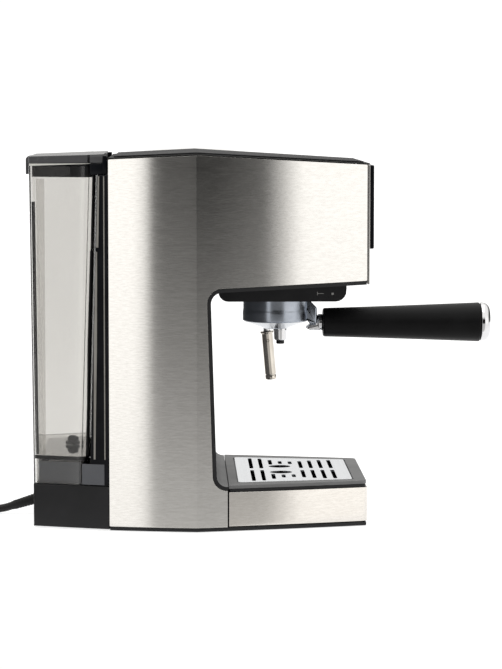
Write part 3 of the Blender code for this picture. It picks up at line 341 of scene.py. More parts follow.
def make_materials():
    """All finishes by name; a plain one is its maker's arguments after the name."""
    sheet = ((0.60, 0.585, 0.56), (0.74, 0.725, 0.70))
    metals = {
        "chrome": ((0.60, 0.60, 0.61), (0.72, 0.72, 0.73), (0.05, 0.11)),
        "warm_chrome": ((0.50, 0.46, 0.41), (0.66, 0.62, 0.56), (0.03, 0.07)),
        "brass": ((0.52, 0.36, 0.14), (0.70, 0.50, 0.22), (0.22, 0.38)),
        "cast_aluminium": ((0.25, 0.275, 0.315), (0.36, 0.385, 0.43), (0.20, 0.27), 420.0, 0.10),
        "turned_aluminium": ((0.38, 0.40, 0.43), (0.56, 0.58, 0.61), (0.14, 0.24), 700.0, 0.25),
    }
    plastics = {
        "black_plastic": (grey(0.009, 0.001), grey(0.014, 0.001)),
        "grip_black": (grey(0.004, 0.0002), grey(0.0065, 0.0005), (0.34, 0.44), 0.05, 0.09),
        "matt_black": (grey(0.010), grey(0.016), (0.66, 0.76), 0.05),
        "lid_black": (grey(0.064, 0.003), grey(0.084, 0.004), (0.22, 0.32)),
        "foot_grey": ((0.082, 0.085, 0.094), (0.098, 0.101, 0.110)),
        "pedestal_grey": ((0.125, 0.132, 0.150), (0.150, 0.158, 0.178)),
        "bead_grey": ((0.20, 0.19, 0.175), (0.28, 0.27, 0.25), (0.25, 0.35)),
        "dark_grey_plastic": (grey(0.115, 0.002), grey(0.150, 0.003), (0.38, 0.50), 0.08),
        "rubber": (grey(0.012), grey(0.022), (0.55, 0.70), 0.2),
        "cord_black": (grey(0.010), grey(0.018), (0.40, 0.55)),
        # The pale silicone grey also paints the highlight strip along the tank's rim.
        "silicone": (grey(0.62, -0.04), grey(0.74, -0.04), (0.40, 0.55)),
    }
    made = {name: polished_metal(name, *values) for name, values in metals.items()}
    made.update({name: moulded_plastic(name, *values) for name, values in plastics.items()})
    made["panel_steel"] = brushed_metal("brushed_steel", "Y", *sheet)
    made["front_steel"] = brushed_metal("brushed_front", "X", *sheet)
    made["band_steel"] = brushed_metal("brushed_band", "Y", (0.64, 0.61, 0.57), (0.76, 0.73, 0.69))
    made["grille_steel"] = brushed_metal(
        "grille_steel", "X", (0.80, 0.83, 0.87), (0.90, 0.93, 0.97), (0.14, 0.22), 0.0
    )
    made["gloss_black"] = gloss_black()
    made["smoked_clear"] = clear_plastic()
    made["board_green"] = board_green()
    made["lamp_lens"] = lamp_lens()
    made["warming_plate_black"] = warming_plate_black()
    made["printed_mark"] = printed_mark()
    return made


MATERIALS = make_materials()


# ---------- building blocks


def as_mesh(shape, name):
    """The mesh of a bmesh, which is then let go."""
    mesh = bpy.data.meshes.new(name)
    shape.to_mesh(mesh)
    shape.free()
    return mesh


def break_edges(piece, width, segments, angle):
    """Rounds a piece's edges that are sharper than an angle, in degrees."""
    bevel = piece.modifiers.new("broken_edges", "BEVEL")
    bevel.width = width / 1000
    bevel.segments = segments
    bevel.limit_method = "ANGLE"
    bevel.angle_limit = math.radians(angle)


def new_piece(name, mesh, material, body, nodes=(), sharp=32.0):
    """An object for a mesh that is already in the row frame, riding on a CAD body."""
    mesh.materials.clear()
    mesh.materials.append(MATERIALS[material])
    mesh.shade_smooth()
    if sharp is not None:
        mesh.set_sharp_from_angle(angle=math.radians(sharp))
    piece = bpy.data.objects.new(name, mesh)
    bpy.context.scene.collection.objects.link(piece)
    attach(piece, body)
    if nodes:
        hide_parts(*nodes)
    return piece


def dressed(node, material, width=0.4, segments=2, angle=28.0, reshape=None):
    """The CAD node's own shape with its edges broken, standing for the node.

    reshape, if given, takes a corner (x, y, z) in the machine's frame to its finished place.
    """
    mesh = NODES[node].data.copy()
    mesh.name = node + "_skin"
    shape = bmesh.new()
    shape.from_mesh(mesh)
    if reshape:
        for vert in shape.verts:
            x, y, z = vert.co * 1000
            vert.co = at(*reshape(x, y - ROW_Y, z))
    bmesh.ops.remove_doubles(shape, verts=shape.verts, dist=2e-6)
    bmesh.ops.dissolve_limit(
        shape, angle_limit=math.radians(0.3), verts=shape.verts, edges=shape.edges
    )
    shape.to_mesh(mesh)
    shape.free()
    body = NODES[node].get("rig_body")
    piece = new_piece(node + "_skin", mesh, material, body, [node], None)
    break_edges(piece, width, segments, angle)
    even = piece.modifiers.new("even_shading", "WEIGHTED_NORMAL")
    even.keep_sharp = False
    return piece


def filleted(profile, segments=5):
    """A line of (radius, height[, fillet]) with an arc at each corner that names a fillet."""
    points = []
    for i, corner in enumerate(profile):
        here = Vector(corner[:2])
        if len(corner) == 2:
            points.append(here)
            continue
        back = Vector(profile[i - 1][:2]) - here
        ahead = Vector(profile[(i + 1) % len(profile)][:2]) - here
        reach = min(corner[2], back.length * 0.49, ahead.length * 0.49)
        start, end = here + back.normalized() * reach, here + ahead.normalized() * reach
        for k in range(segments + 1):
            t = k / segments
            points.append(start * (1 - t) ** 2 + here * 2 * t * (1 - t) + end * t * t)
    return points


def lathe(profile, centre, direction=(0, 0, 1), steps=64, wave=None):
    """A profile of (radius, height) turned round its axis, open where it meets the axis.

    wave, if given, is a function of (angle, radius, height) that returns the radius to use.
    """
    shape = bmesh.new()
    turn = Vector(direction).to_track_quat("Z", "Y").to_matrix()
    rings = []
    for radius, height in profile:
        if radius < 1e-6:
            rings.append([shape.verts.new(at(*(Vector(centre) + turn @ Vector((0, 0, height)))))])
            continue
        ring = []
        for k in range(steps):
            angle = math.tau * k / steps
            r = wave(angle, radius, height) if wave else radius
            point = Vector((r * math.cos(angle), r * math.sin(angle), height))
            ring.append(shape.verts.new(at(*(Vector(centre) + turn @ point))))
        rings.append(ring)
    for a, b in zip(rings, rings[1:]):
        for k in range(steps):
            corners = [a[k % len(a)], a[(k + 1) % len(a)], b[(k + 1) % len(b)], b[k % len(b)]]
            unique = list(dict.fromkeys(corners))
            if len(unique) > 2:
                shape.faces.new(unique)
    bmesh.ops.recalc_face_normals(shape, faces=shape.faces)
    return as_mesh(shape, "lathe")


def closed(profile):
    """A profile that is not on the axis, joined up into a ring."""
    return list(profile) + [profile[0]]


def sections(rings, caps=True):
    """A skin over rings of points that all have the same count."""
    shape = bmesh.new()
    rows = [[shape.verts.new(at(*p)) for p in ring] for ring in rings]
    for a, b in zip(rows, rows[1:]):
        for k in range(len(a)):
            n = (k + 1) % len(a)
            shape.faces.new((a[k], a[n], b[n], b[k]))
    if caps:
        shape.faces.new(rows[0])
        shape.faces.new(rows[-1])
    bmesh.ops.recalc_face_normals(shape, faces=shape.faces)
    return as_mesh(shape, "sections")


def joined(*meshes):
    """Several meshes as one."""
    shape = bmesh.new()
    for mesh in meshes:
        shape.from_mesh(mesh)
    return as_mesh(shape, "joined")


def round_edges(shape, edges, radius, segments):
    bmesh.ops.bevel(
        shape, geom=edges, offset=radius / 1000, segments=segments, profile=0.5, affect="EDGES"
    )


def rounded_box(low, high, radius, segments=3):
    """A box with every edge rounded."""
    shape = bmesh.new()
    bmesh.ops.create_cube(shape, size=1.0)
    size = Vector(high) - Vector(low)
    middle = (Vector(high) + Vector(low)) / 2
    for vert in shape.verts:
        vert.co = at(*(middle + Vector(a * b for a, b in zip(vert.co, size))))
    round_edges(shape, shape.edges[:], radius, segments)
    return as_mesh(shape, "rounded_box")


def half_width(y):
    """Half-width of the housing's plan at y."""
    for (y0, w0), (y1, w1) in zip(PLAN, PLAN[1:]):
        if y <= y1:
            break
    share = (y - y0) / (y1 - y0)
    bulge = 4 * BULGE * (y1 - y0) * share * (1 - share) if 0 < share < 1 else 0.0
    return w0 + (w1 - w0) * share + bulge


# ---------- mains lead


def turn_point(angle):
    """The cord's place in the coil after winding through an angle, in degrees."""
    inward = ease((angle - STEP_INWARD) / STEP_SPAN)
    outward = ease((angle - STEP_OUTWARD) / STEP_SPAN)
    radius = OUTER_TURN + (INNER_TURN - OUTER_TURN) * (inward - outward)
    radius += 2.4 * (1 - ease((angle + 8) / 24)) + 1.6 * ease((angle - 1322) / 28)
    height = LOW_TURN + (HIGH_TURN - LOW_TURN) * ease((angle - STEP_UP) / STEP_SPAN)
    turn = math.radians(angle)
    return (
        COIL_CENTRE[0] + radius * math.cos(turn),
        COIL_CENTRE[1] + radius * math.sin(turn),
        height,
    )


def cord_route():
    """The lead to the coil, its turns, and the tail that climbs to the plug."""
    turns = [turn_point(angle) for angle in range(-8, 1351, 14)]
    start, end = Vector(TAIL_START), Vector(TAIL_END)
    tail = []
    for k in range(12):
        share = k / 11
        y, z = start.yz + (end.yz - start.yz) * ease(share)
        tail.append((start.x + (end.x - start.x) * share, y, z))
    return [*LEAD_ROUTE, *turns, *tail]


def smooth_line(route, steps=5):
    """Points on a Catmull-Rom curve through a route."""
    stops = [Vector(p) for p in route]
    ends = [2 * stops[0] - stops[1], *stops, 2 * stops[-1] - stops[-2]]
    line = []
    for a, b, c, d in zip(ends, ends[1:], ends[2:], ends[3:]):
        for k in range(steps):
            t = k / steps
            bend = (2 * a - 5 * b + 4 * c - d) * t * t + (3 * b - a - 3 * c + d) * t**3
            line.append((2 * b + (c - a) * t + bend) / 2)
    return [*line, stops[-1]]


def add_cord():
    """The lead as one tube, with its strain relief, tie and plug."""
    line = [at(*p) for p in smooth_line(cord_route())]
    curve = bpy.data.curves.new("power_cord_run", "CURVE")
    curve.dimensions = "3D"
    curve.bevel_depth = CORD_RADIUS / 1000
    curve.bevel_resolution = 6
    curve.use_fill_caps = True
    spline = curve.splines.new("POLY")
    spline.points.add(len(line) - 1)
    for point, place in zip(spline.points, line):
        point.co = (*place, 1.0)
    spline.use_smooth = True
    curve.materials.append(MATERIALS["cord_black"])
    cord = bpy.data.objects.new("power_cord_run", curve)
    bpy.context.scene.collection.objects.link(cord)
    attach(cord, "machine")
    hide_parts("power_cord", "cord_tail", "cord_coil")

    relief = [(0, RELIEF_LENGTH), (3.34, RELIEF_LENGTH), (3.5, RELIEF_LENGTH - 1.0)]
    for k in range(7):
        z = 20.6 - 2.4 * k
        r = 3.8 + 0.09 * (k + 1)
        relief += [(r, z + 0.8), (r, z - 0.9), (r - 0.3, z - 1.05), (r - 0.3, z - 1.45)]
    relief += [(4.9, 4.4), (6.0, 3.4), (6.2, 2.2), (0, 2.2)]
    mesh = lathe(relief, EXIT, RELIEF_SLOPE, 40)
    gland = new_piece("strain_relief", mesh, "rubber", "machine", ["cord_gland"])
    plug = add_plug()
    tie = dressed("cord_tie", "black_plastic", 0.4)


def add_plug():
    """Round moulded mains plug with a ribbed neck and two pins."""
    profile = [(0, 49.8), (14.2, 49.8, 1.0), (17.7, 45.0, 3.0), (17.7, 27.0, 3.0)]
    profile += [(15.3, 21.0, 2.0), (8.6, 16.0, 1.5)]
    for k in range(4):
        z = 13.0 - 3.0 * k
        r = 7.2 - 0.75 * k
        profile += [(r, z + 0.8), (r, z - 0.6), (r - 0.9, z - 0.9), (r - 0.9, z - 1.6)]
    profile += [(3.7, 0.6), (0, 0.3)]

    def flats(angle, radius, height):
        """Finger flats on the body of the plug."""
        grip = 1.6 * max(0.0, abs(math.sin(angle)) - 0.55) if 24 < height < 46 else 0.0
        return radius - grip

    body = lathe(filleted(profile), PLUG_START, (1, 0, 0), 64, flats)
    plug = new_piece("plug_body", body, "cord_black", "machine", ["plug"])
    pins = []
    for side in (-1, 1):
        root = Vector(PLUG_START) + Vector((49.0, side * 9.5, 0))
        pin = [(0, 19.4), (1.5, 19.4, 0.6), (2.4, 17.6, 0.6), (2.4, 0), (0, 0)]
        pins.append(lathe(filleted(pin, 3), root, (1, 0, 0), 24))
    pins = new_piece("plug_pins", joined(*pins), "chrome", "machine", ())
    pins.parent = plug
    return plug


# ---------- housing


def panel_outline():
    """Side view of a steel sheet: a C round the cup space, with the tray's seam in front."""
    corners = [
        (PANEL_FRONT_Y, FRONT_TOP_Z, 0.8), (PANEL_FRONT_Y, HEAD_FRONT_Z, 0.8),
        CUP_TOP_CORNER,
        CUP_LOW_CORNER,
        (SEAM_Y + 0.9, SHELF_Z), (SEAM_Y + 0.9, PANEL_LOW), (PANEL_REAR_Y, PANEL_LOW, 0.8),
        (PANEL_REAR_Y, REAR_TOP_Z, 0.8), (CREASE_Y, RIDGE_Z),
    ]
    return true_arcs(corners)


def true_arcs(corners, segments=10):
    """A closed outline with a circular arc at each corner that has a radius."""
    points = []
    for i, corner in enumerate(corners):
        here = Vector(corner[:2])
        if len(corner) == 2:
            points.append(tuple(here))
            continue
        back = (Vector(corners[i - 1][:2]) - here).normalized()
        ahead = (Vector(corners[(i + 1) % len(corners)][:2]) - here).normalized()
        half = back.angle(ahead) / 2
        centre = here + (back + ahead).normalized() * corner[2] / math.sin(half)
        arm = here + back * corner[2] / math.tan(half) - centre
        sweep = math.copysign(math.pi - 2 * half, -back.cross(ahead))
        for k in range(segments + 1):
            angle = sweep * k / segments
            c, s = math.cos(angle), math.sin(angle)
            points.append((centre.x + arm.x * c - arm.y * s, centre.y + arm.x * s + arm.y * c))
    return points


def add_side_panels():
    """Brushed sheets: the outline is cut into strips, then bent round the bulged plan."""
    for name, side in (("left_side_panel", -1), ("right_side_panel", 1)):
        shape = bmesh.new()
        verts = [shape.verts.new((0.0, y, z)) for y, z in panel_outline()]
        shape.faces.new(verts)
        cuts = [CREASE_Y]
        cuts += [PANEL_FRONT_Y + 6 + 6.6 * k for k in range(21)]
        cuts += [CREASE_Y + 5 * k for k in range(1, 14)]
        for y in cuts:
            everything = shape.verts[:] + shape.edges[:] + shape.faces[:]
            bmesh.ops.bisect_plane(
                shape, geom=everything, dist=1e-5, plane_co=(0, y, 0), plane_no=(0, 1, 0)
            )
        for vert in shape.verts:
            y, z = vert.co.y, vert.co.z
            vert.co = at(side * (half_width(y) - 0.02), y, z)
        bmesh.ops.recalc_face_normals(shape, faces=shape.faces)
        if (shape.faces[:][0].normal.x > 0) != (side > 0):
            bmesh.ops.reverse_faces(shape, faces=shape.faces)
        sheet_name, mesh = name + "_sheet", as_mesh(shape, name + "_sheet")
        panel = new_piece(sheet_name, mesh, "panel_steel", "machine", [name], 9.0)
        sheet = panel.modifiers.new("sheet", "SOLIDIFY")
        sheet.thickness = SHEET / 1000
        sheet.offset = -1.0
        break_edges(panel, 0.22, 2, 50.0)
        even = panel.modifiers.new("even_shading", "WEIGHTED_NORMAL")
        even.weight = 100
        even.keep_sharp = True


def add_housing():
    """Covers, base, liner, collar, front and feet."""
    dressed("top_cover", "matt_black", 0.3)
    dressed("warming_plate", "warming_plate_black", 0.8, 3)
    dressed("base_plate", "black_plastic", 0.6, reshape=skirted)
    dressed("rear_base_block", "black_plastic", 0.9, 3, reshape=block_fit)
    dressed("rear_cover", "gloss_black", 0.8, reshape=rear_cover_lean)
    liner = dressed("cup_space_liner", "black_plastic", 0.5)
    liner.data.materials.append(MATERIALS["dark_grey_plastic"])
    for face in liner.data.polygons:
        if abs(face.normal.x) < 0.6:
            face.material_index = 1
    dressed("group_collar", "black_plastic", 0.8, 3, reshape=collar_depth)
    dressed("front_panel", "front_steel", 0.4)
    dressed("control_plate", "gloss_black", 0.8, 3)
    foot = [(0, 2.9), (7.4, 2.9), (7.0, 0.8, 0.4), (6.0, 0.05, 0.3)]
    foot += [(3.4, 0.05), (3.0, 0.5), (0, 0.5)]
    for number, place in enumerate(FOOT_PLACES, start=1):
        name = f"foot_{number}"
        mesh = lathe(filleted(foot, 3), (*place, 0))
        new_piece(name + "_pad", mesh, "rubber", "machine", [name])
    add_collar_marks()


def skirted(x, y, z):
    """Brings the lower edge of a base piece down so that the feet stand only just proud."""
    return x, y + 1.8 if y > 100.0 else y, z - 2.9 if z < 8.0 else z


def block_fit(x, y, z):
    """Also closes the slit between the rear block and the base plate in front of it."""
    return skirted(x, y - 0.5 if y < 60.0 else y, z)


def frame_fit(x, y, z):
    """Narrows the seam behind the tray frame to a hair line."""
    return x, y + 0.2 if y > SEAM_Y - 1.0 else y, z


def collar_depth(x, y, z):
    """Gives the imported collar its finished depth, just clear of the handle's arm."""
    return x, y, z - 1.5 if z < 190.0 else z


def add_collar_marks():
    """Plain printed signs for the portafilter's two positions: a line and a small square."""
    x = -50.04  # just proud of the collar's left face
    line = rounded_box((x, -121.5, 188.4), (x + 0.1, -116.6, 188.8), 0.02, 1)
    tick = rounded_box((x, -116.5, 187.3), (x + 0.1, -116.0, 189.9), 0.02, 1)
    square = rounded_box((x, -129.6, 187.6), (x + 0.1, -127.8, 189.3), 0.02, 1)
    new_piece("position_marks", joined(line, tick, square), "printed_mark", "machine")


# ---------- controls


def add_controls():
    """Three dished buttons with a printed ring each, two lamps, and the steam knob."""
    cap = [(0, 6.9), (7.2, 7.1, 1.0), (8.2, 7.55, 0.4), (9.5, 7.2, 0.6)]
    cap += [(9.95, 6.2, 0.4), (9.95, 0.1), (0, 0.1)]
    ring = closed([(6.2, 7.0), (6.2, 7.14), (5.6, 7.14), (5.6, 6.95)])
    for name, x in (("power_button", -34.0), ("brew_button", 0.0), ("steam_button", 34.0)):
        centre = (x, BUTTON_Y, BUTTON_Z)
        mesh = lathe(filleted(cap, 4), centre, (0, -1, 0))
        new_piece(name + "_cap", mesh, "gloss_black", name, [name])
        mesh = lathe(ring, centre, (0, -1, 0), 48)
        new_piece(name + "_ring", mesh, "printed_mark", name)
    for number, x in enumerate((-17.0, 17.0), start=1):
        node = f"indicator_light_{number}"
        lens = [(0, 3.85), (1.0, 3.8), (1.9, 3.4, 0.4), (2.45, 2.6, 0.3), (2.45, 0.1), (0, 0.1)]
        mesh = lathe(filleted(lens, 4), (x, LAMP_Y, LAMP_Z), (0, -1, 0), 32)
        new_piece(node + "_lens", mesh, "lamp_lens", "machine", [node])
    add_knob()


def add_knob():
    """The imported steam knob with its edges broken, and a chrome ring at its foot."""
    (y0, w0), (y1, w1) = PLAN[0], PLAN[1]
    axis = Vector((y1 - y0, w0 - w1, 0.0)).normalized()
    root = Vector((half_width(KNOB_Y), KNOB_Y, KNOB_Z)) + axis * 0.6
    dressed("steam_knob", "black_plastic", 0.7, 3)
    collar = closed([(17.9, 1.0), (17.9, 2.6), (17.55, 2.9), (17.2, 1.0)])
    mesh = lathe(collar, root, axis, 72)
    new_piece("knob_ring", mesh, "chrome", "steam_knob", ())


# ---------- brew group


def slab(outline, half, radius):
    """A side outline of (y, z[, corner radius]) given width either side of the centre plane."""
    shape = bmesh.new()
    ends = []
    for side in (-1, 1):
        ends.append([shape.verts.new(at(side * half, y, z)) for y, z in true_arcs(outline, 4)])
        shape.faces.new(ends[-1])
    for k, low in enumerate(ends[0]):
        n = (k + 1) % len(ends[0])
        shape.faces.new((low, ends[0][n], ends[1][n], ends[1][k]))
    bmesh.ops.recalc_face_normals(shape, faces=shape.faces)
    rims = [e for e in shape.edges if abs(e.verts[0].co.x - e.verts[1].co.x) < 1e-6]
    round_edges(shape, rims, radius, 3)
    return as_mesh(shape, "slab")


def add_portafilter():
    """Machined cup with a coned foot, cast arm with its spur, and the spout below."""
    centre = (0, GROUP_Y, 0)
    outer, inner = CUP_RADIUS, CUP_RADIUS - 1.9
    wall = [
        (outer - 0.3, CUP_RIM_Z), (outer, CUP_RIM_Z - 0.4), (outer, 187.0, 0.4),
        (outer - 0.5, 186.4, 0.4), (outer - 0.5, 172.5, 1.0), (outer - 0.1, 170.5, 1.0),
        (outer - 0.1, 163.3, 0.6), (outer - 1.3, 162.5, 0.5), (11.6, 157.1, 1.2),
        (10.4, 156.3, 0.5), (3.3, 156.3), (3.3, 161.2), (inner - 2.5, 166.4, 1.5),
        (inner, 168.4, 1.5), (inner, CUP_RIM_Z), (outer - 0.3, CUP_RIM_Z),
    ]
    cup = lathe(filleted(wall), centre, steps=96)
    metal, nodes = "cast_aluminium", ["portafilter_cup"]
    new_piece("portafilter_body", cup, metal, "portafilter", nodes, 40.0)
    cone = closed([
        (outer - 1.2, 162.45), (11.6, 157.0, 1.2), (10.4, 156.2, 0.4), (3.4, 156.2),
        (3.4, 157.2), (11.4, 158.2), (outer - 1.6, 163.2),
    ])
    mesh = lathe(filleted(cone), centre, steps=96)
    new_piece("cup_foot_cone", mesh, "turned_aluminium", "portafilter", (), 40.0)
    arm = slab(ARM_OUTLINE, 7.6, 1.5)
    new_piece("cast_arm", arm, metal, "portafilter", (), 50.0)
    spur = slab(SPUR_OUTLINE, 5.6, 1.6)
    new_piece("arm_spur", spur, "chrome", "portafilter", (), 50.0)
    for side, name in ((-1, "left"), (1, "right")):
        x0, x1 = sorted((side * 26.6, side * 31.0))
        lug = rounded_box((x0, GROUP_Y - 7.5, 188.0), (x1, GROUP_Y + 7.5, 190.4), 0.6)
        new_piece(f"bayonet_lug_{name}", lug, metal, "portafilter", ())

    dressed("brew_head", metal, 0.3)
    dressed("filter_basket", "grille_steel", 0.2)
    add_spout()


def add_spout():
    """Short turned spout with a rubber tip, a little forward of the brew axis."""
    below = (0, GROUP_Y - SPOUT_FORWARD, 0)
    spout = closed([
        (5.9, 156.0), (5.9, 154.6, 0.3), (5.55, 154.0, 0.3), (5.2, 147.2, 0.5),
        (4.7, 146.3, 0.3), (2.95, 146.25), (2.95, 156.0),
    ])
    mesh = lathe(filleted(spout, 3), below)
    new_piece("spout_tube", mesh, "chrome", "portafilter", ["spout"])
    outlet = closed([(3.4, 146.1), (3.4, 143.6), (3.0, 143.15), (1.85, 143.15), (1.85, 146.1)])
    mesh = lathe(outlet, below, steps=40)
    new_piece("outlet_tip", mesh, "black_plastic", "portafilter", ["spout_outlet"])


def add_handle():
    """Chrome ferrule, satin grip that flares to the front, stepped chrome end cap."""
    ferrule = [(0, 5.95), (6.5, 5.95), (6.95, 5.2, 0.4), (6.95, 2.6, 0.4)]
    ferrule += [(5.9, 1.3, 0.4), (5.9, 0.05), (0, 0.05)]
    mesh = lathe(filleted(ferrule, 4), (0, -117.3, HANDLE_Z), (0, -1, 0))
    new_piece("handle_ferrule", mesh, "chrome", "portafilter", ["ferrule"])

    front, rear = GRIP_Y
    length = rear - front
    wide, narrow = GRIP_RADII
    grip = [(0, length - 0.05), (wide - 0.9, length - 0.05), (wide - 0.05, length - 0.9, 0.5)]
    for k in range(19, 0, -1):
        share = k / 20
        grip.append((narrow - 0.05 + (wide - narrow) * share**1.15, length * share))
    grip += [(narrow - 0.05, 1.4, 0.6), (narrow - 0.9, 0.3, 0.5), (narrow - 2.2, 0.05), (0, 0.05)]
    mesh = lathe(filleted(grip, 4), (0, rear, HANDLE_Z), (0, -1, 0), 96)
    new_piece("handle_grip", mesh, "grip_black", "portafilter", ["grip"])

    depth = front - 0.3 - CAP_END_Y
    cap = [
        (0, depth - 1.5), (8.9, depth - 1.6, 0.8), (9.8, depth - 0.1, 0.5),
        (12.4, depth - 0.6, 1.0), (14.8, depth - 2.2, 1.4), (16.1, depth - 4.6, 1.4),
        (wide - 0.05, depth - 7.0), (wide - 0.05, 0.5, 0.3), (wide - 0.6, 0.05), (0, 0.05),
    ]
    mesh = lathe(filleted(cap, 5), (0, front - 0.3, HANDLE_Z), (0, -1, 0), 96)
    new_piece("handle_cap", mesh, "chrome", "portafilter", ["grip_cap"])


# ---------- steam wand


def wand_point(z):
    """The point of the wand's centre line at a height."""
    return Vector((WAND_X, BALL_Y - (BALL_Z - z) * WAND_LEAN, z))


def add_wand():
    """Ball and rod in chrome, and the sleeve that pulls off over the tip."""
    ball = Vector((WAND_X, BALL_Y, BALL_Z))
    down = (wand_point(0.0) - ball).normalized()
    tip = -(wand_point(SLEEVE_Z[0] + 6) - ball).length
    sphere = [
        (BALL_RADIUS * math.sin(a) + 1e-9, BALL_RADIUS * math.cos(a))
        for a in (math.pi * k / 24 for k in range(20))
    ]
    rod = [(WAND_RADIUS, -5.0), (WAND_RADIUS, tip + 0.6), (WAND_RADIUS - 0.5, tip)]
    rod += [(1.2, tip), (1.2, tip + 4)]
    mesh = lathe([(0, BALL_RADIUS), *sphere[1:], *rod], ball, -down, 48)
    new_piece("wand_tube", mesh, "chrome", "steam_wand", ["steam_wand"])

    foot = wand_point(SLEEVE_Z[0])
    length = (wand_point(SLEEVE_Z[1]) - foot).length
    bore, skin = WAND_RADIUS + 0.3, SLEEVE_RADIUS - 0.05
    lip, groove, top = SLEEVE_RADIUS + 0.9, SLEEVE_RADIUS - 0.35, length - 0.05
    sleeve = [
        (bore, top), (SLEEVE_RADIUS + 0.6, top, 0.2), (lip, length - 0.5, 0.2),
        (lip, length - 1.5, 0.3), (skin, length - 2.2, 0.3), (skin, 5.0, 0.2),
        (groove, 4.6, 0.2), (groove, 3.8, 0.2), (skin, 3.4, 0.2), (skin, 1.0, 0.3),
        (SLEEVE_RADIUS - 0.9, 0.05, 0.3), (bore, 0.05), (bore, top),
    ]
    mesh = lathe(filleted(sleeve, 4), foot, -down, 64)
    new_piece("froth_sleeve_tube", mesh, "warm_chrome", "froth_sleeve", ["froth_sleeve"])
    hole = wand_point(SLEEVE_Z[1] - 8.0) - Vector((SLEEVE_RADIUS - 0.03, 0, 0))
    rim = [(0, -0.25), (0.85, -0.2), (1.0, 0.03), (1.25, 0.05), (1.3, -0.1)]
    mesh = lathe(rim, hole, (-1, 0, 0), 24)
    new_piece("air_hole_rim", mesh, "rubber", "froth_sleeve")
    dressed("wand_mount", "chrome", 0.3)


# ---------- drip tray


def band_drop(x, y, z):
    """Sets the steel band low enough to leave a shadow line under the tray's frame."""
    return x, y, z - (3.1 if z < 10.0 else 2.3)


def add_tray():
    dressed("tray_band", "band_steel", 0.25, reshape=band_drop)
    dressed("tray_tub", "black_plastic", 0.5)
    dressed("tray_frame", "dark_grey_plastic", 0.3, reshape=frame_fit)
    dressed("drip_grille", "grille_steel", 0.3)


# ---------- water tank


def tank_front(z):
    """Outer face of the tank's front wall; it leans forward towards the rim."""
    return 70.0 - 6.7 * (z - 60.0) / 233.0


def tank_share(z):
    """How far up the tank a height is, from 0 at its foot to 1 at its rim."""
    return (z - TANK_LOW_Z) / (TANK_HIGH_Z - TANK_LOW_Z)


def tank_lean(x, y, z):
    """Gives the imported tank's front wall the lean of tank_front() and a fuller back."""
    packed_front = 71.0 - 5.0 * tank_share(z)
    if 62.0 < y < 75.0 and z < TANK_HIGH_Z + 0.2:
        y += min(0.0, tank_front(z) - packed_front)
    if y > 100.0:
        y += 1.7 * (1.0 - tank_share(z))
    return x, y, z


def rear_cover_lean(x, y, z):
    """Keeps the cover's face 1.4 mm in front of the tank."""
    if y > 60.0:
        y = min(y, tank_front(z) - 1.4)
    return x, y, z


def lid_lean(x, y, z):
    """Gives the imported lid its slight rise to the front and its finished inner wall."""
    y = max(y, LID_FRONT_Y)
    if y > 119.8:  # the finger tab
        y -= 1.4
    if z < 295.0:
        return x, y, max(z, LID_LIP_Z) if y < 112.0 else z
    forward = (LID_REAR_Y - y) / (LID_REAR_Y - LID_FRONT_Y)
    if z < 297.0 or (abs(x) > 79.4 and y < 66.0):
        return x, y, z + (0.9 * forward if y > 69.0 else 0.0)
    return x, y, z + 0.2 + 2.0 * forward


def tank_loop(z, inset):
    """The tank's plan at a height, moved in by inset on all sides."""
    front, rear = tank_front(z) + inset, 115.6 + 2.3 * tank_share(z) - inset
    radius = max(TANK_CORNER - inset, 1.5)
    right = [(half_width(y) - TANK_INSET - inset, y, radius) for y in (front, rear)]
    left = [(-x, y, r) for x, y, r in reversed(right)]
    return [(x, y, z) for x, y in true_arcs(right + left, 5)]


def rim_place(point, height, rise):
    """The place over a point of the plan at a height that rises towards the front."""
    x, y = point[:2]
    return x, y, height + rise * (RIM_REAR_Y - y) / (RIM_REAR_Y - RIM_FRONT_Y)


def tank_band(low, high, inset, thick):
    """A closed band that follows the tank's plan; low and high are (height, rise to the front)."""
    outer, inner = inset, inset + thick
    rings = []
    for level, depth in ((low, outer), (high, outer), (high, inner), (low, inner), (low, outer)):
        rings.append([rim_place(point, *level) for point in tank_loop(level[0], depth)])
    return sections(rings, caps=False)


def rim_highlight_strip(low, high, inset, thick):
    """A pale strip on the rim, both sides and the back, clear of the lid's hinged edge: a painted
    highlight along the rim.
    """
    outer, inner = tank_loop(TANK_HIGH_Z, inset), tank_loop(TANK_HIGH_Z, inset + thick)
    clear_y = 66.0
    start = next(k for k, point in enumerate(outer) if point[1] > clear_y)
    pairs = list(zip(outer, inner))
    rings = [
        (rim_place(a, *low), rim_place(a, *high), rim_place(b, *high), rim_place(b, *low))
        for a, b in pairs[start:] + pairs[:start]
        if a[1] > clear_y
    ]
    return sections(rings)


def painted_corner_shade(side, stations):
    """Painted shade: a black skin on a front corner of the clear tank, standing in for the dark
    its rounded corner shows; stations are (z, depth of its rear edge).
    """
    rings = []
    for z, depth in stations:
        outer, inner = [], []
        for k in range(7):
            d = 0.15 + (depth - 0.15) * k / 6
            y = tank_front(z) + d
            rounding = TANK_CORNER - math.sqrt(TANK_CORNER**2 - (TANK_CORNER - d) ** 2)
            x = half_width(y) - TANK_INSET - rounding
            outer.append((side * (x + 0.12), y - 0.06, z))
            inner.append((side * (x - 0.7), y + 0.3, z))
        rings.append(outer + inner[::-1])
    return sections(rings)


def side_strip(side, stations, low_x, high_x):
    """An upright strip on the housing's side; stations are (z, front y, rear y)."""
    rings = []
    for z, y0, y1 in stations:
        x0, x1 = half_width(y0), half_width(y1)
        corners = ((x0 + low_x, y0), (x0 + high_x, y0), (x1 + high_x, y1), (x1 + low_x, y1))
        rings.append([(side * x, y, z) for x, y in corners])
    return sections(rings)


